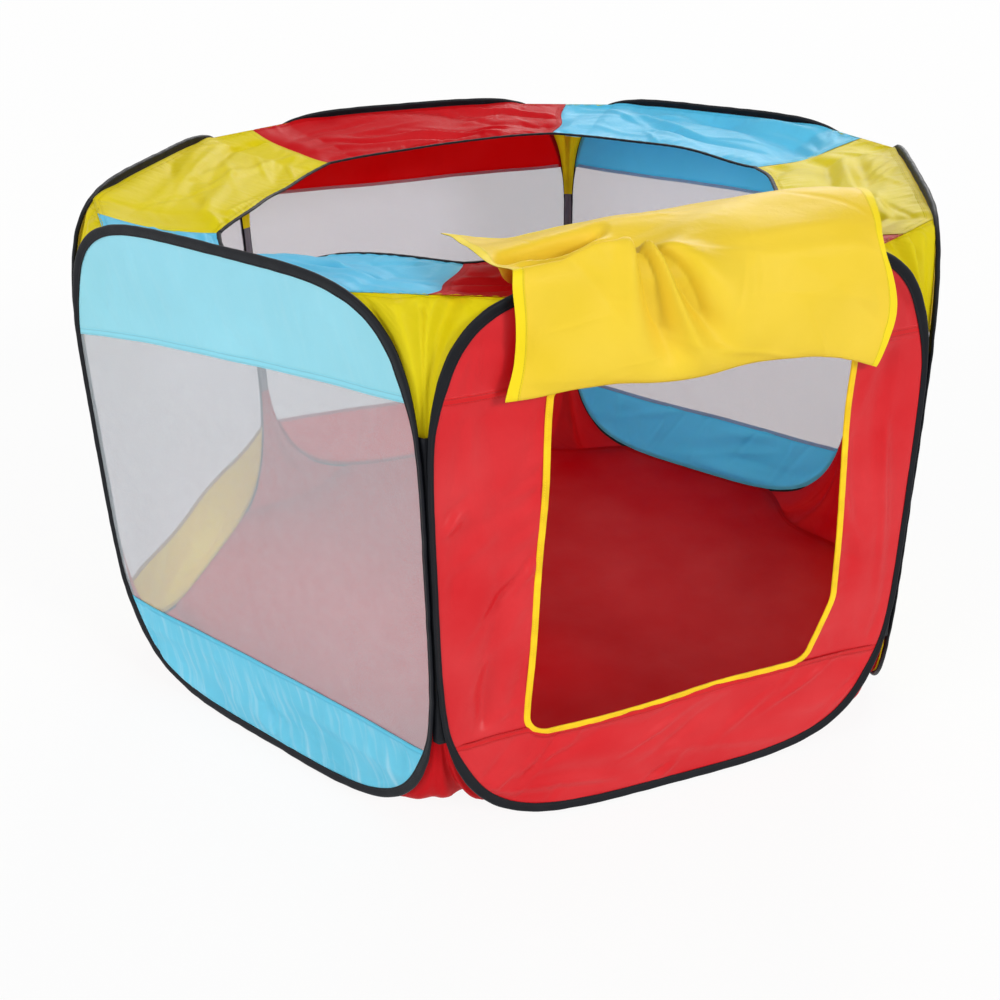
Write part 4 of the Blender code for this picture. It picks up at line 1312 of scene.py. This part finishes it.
def make_lamps():
    """Three broad suns."""
    for name, energy, width, bearing, rise in LAMPS:
        lamp = bpy.data.lights.new(name, "SUN")
        lamp.energy = energy
        lamp.angle = math.radians(width)
        lamp.color = (1.0, 0.99, 0.97)
        sun = bpy.data.objects.new(name, lamp)
        sun.rotation_euler = (math.radians(90 - rise), 0.0, math.radians(bearing + 90))
        bpy.context.scene.collection.objects.link(sun)


def make_camera():
    """The camera: turned about the upright, raised, and rolled about its own line of sight."""
    turn, rise, roll = (np.array((math.cos(angle), math.sin(angle))) for angle in CAMERA_ANGLES)
    back = np.array((turn[1] * rise[0], -turn[0] * rise[0], rise[1]))
    level = np.array((*turn, 0.0))
    upright = np.cross(back, level)
    right = level * roll[0] + upright * roll[1]
    above = upright * roll[0] - level * roll[1]
    data = bpy.data.cameras.new("camera")
    data.lens = CAMERA_LENS
    data.sensor_width = CAMERA_SENSOR
    camera = bpy.data.objects.new("camera", data)
    turned = np.eye(4)
    turned[:3] = np.column_stack((right, above, back, CAMERA_PLACE))
    camera.matrix_world = Matrix(turned.tolist())
    bpy.context.scene.collection.objects.link(camera)
    bpy.context.scene.camera = camera
    bpy.context.scene.view_settings.view_transform = "Standard"


class PlaypenWires(bpy.types.Operator):
    """Gives the sprung wire loops and their ferrules a steel finish"""

    bl_idname = "playpen.wires"
    bl_label = "Wires and Ferrules"

    def execute(self, context):
        steel = material_for("steel")
        for name in PANELS:
            for prefix in ("wire_", "ferrule_"):
                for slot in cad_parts[prefix + name].material_slots:
                    slot.material = steel
        return {"FINISHED"}


class PlaypenBindings(bpy.types.Operator):
    """Makes the black folded tape round each panel"""

    bl_idname = "playpen.bindings"
    bl_label = "Edge Tape"

    def execute(self, context):
        for panel in SIDES:
            make_binding(panel)
            make_seam_strips(panel)
        return {"FINISHED"}


class PlaypenBands(bpy.types.Operator):
    """Makes the coloured bands above and below the netting and the door opening"""

    bl_idname = "playpen.bands"
    bl_label = "Coloured Bands"

    def execute(self, context):
        for panel in SIDES:
            for upper in (True, False):
                make_band(panel, upper)
        return {"FINISHED"}


class PlaypenNets(bpy.types.Operator):
    """Makes the five see-through net windows"""

    bl_idname = "playpen.nets"
    bl_label = "Netting"

    def execute(self, context):
        for panel in SIDES[1:]:
            make_net(panel)
        return {"FINISHED"}


class PlaypenDoor(bpy.types.Operator):
    """Makes the cloth beside the door opening and the yellow piping round it"""

    bl_idname = "playpen.door"
    bl_label = "Door and Piping"

    def execute(self, context):
        make_piping()
        for side in (-1, 1):
            make_door_side(side)
        return {"FINISHED"}


class PlaypenVisor(bpy.types.Operator):
    """Makes the six sections of the visor and the elastic rim at its inner edge"""

    bl_idname = "playpen.visor"
    bl_label = "Visor and Rim"

    def execute(self, context):
        for panel in SIDES:
            make_visor(panel)
            make_rim(panel)
        return {"FINISHED"}


class PlaypenGussets(bpy.types.Operator):
    """Makes the gussets; those of the open corner and of the two corners that close are in two halves"""

    bl_idname = "playpen.gussets"
    bl_label = "Gussets"

    def execute(self, context):
        for corner in SIDES:
            reach = GUSSET_HALVES.get(corner)
            for upper in (True, False):
                if reach:
                    make_gusset(corner, upper, 0.0, reach, corner - 1)
                    make_gusset(corner, upper, 1.0 - reach, 1.0, corner)
                else:
                    make_gusset(corner, upper)
        return {"FINISHED"}


class PlaypenFlap(bpy.types.Operator):
    """Makes the door flap, turned up over the frame"""

    bl_idname = "playpen.flap"
    bl_label = "Door Flap"

    def execute(self, context):
        make_flap()
        return {"FINISHED"}


class PlaypenFloor(bpy.types.Operator):
    """Makes the floor sheet in six parts, one to each panel"""

    bl_idname = "playpen.floor"
    bl_label = "Floor Sheet"

    def execute(self, context):
        for panel in SIDES:
            make_floor_part(panel)
        return {"FINISHED"}


class PlaypenStage(bpy.types.Operator):
    """Makes the stage: a pale floor, soft light and the camera"""

    bl_idname = "playpen.stage"
    bl_label = "Stage"

    def execute(self, context):
        make_floor_and_sky()
        make_lamps()
        make_camera()
        return {"FINISHED"}


OPERATORS = (
    PlaypenWires, PlaypenBindings, PlaypenBands, PlaypenNets, PlaypenDoor,
    PlaypenVisor, PlaypenGussets, PlaypenFlap, PlaypenFloor, PlaypenStage,
)


class PlaypenPanel(bpy.types.Panel):
    """Lists the playpen's sizes, colours and pieces"""

    bl_idname = "VIEW3D_PT_playpen"
    bl_label = "Portable Playpen"
    bl_space_type = "VIEW_3D"
    bl_region_type = "UI"
    bl_category = "Playpen"

    def draw(self, context):
        for group in (context.scene.playpen_sizes, context.scene.playpen_colours):
            box = self.layout.box()
            for name in group.bl_rna.properties.keys():
                if name not in ("rna_type", "name"):
                    box.prop(group, name)
        for operator in OPERATORS:
            self.layout.operator(operator.bl_idname)


CLASSES = (PlaypenSizes, PlaypenColours, *OPERATORS, PlaypenPanel)


def register():
    for kind in CLASSES:
        bpy.utils.register_class(kind)
    bpy.types.Scene.playpen_sizes = PointerProperty(type=PlaypenSizes)
    bpy.types.Scene.playpen_colours = PointerProperty(type=PlaypenColours)


def unregister():
    del bpy.types.Scene.playpen_colours
    del bpy.types.Scene.playpen_sizes
    for kind in reversed(CLASSES):
        bpy.utils.unregister_class(kind)


def main():
    register()
    bpy.ops.playpen.stage()
    bpy.ops.playpen.wires()
    bpy.ops.playpen.bindings()
    bpy.ops.playpen.bands()
    bpy.ops.playpen.nets()
    bpy.ops.playpen.door()
    bpy.ops.playpen.visor()
    bpy.ops.playpen.gussets()
    bpy.ops.playpen.flap()
    bpy.ops.playpen.floor()


if __name__ == "__main__":
    main()
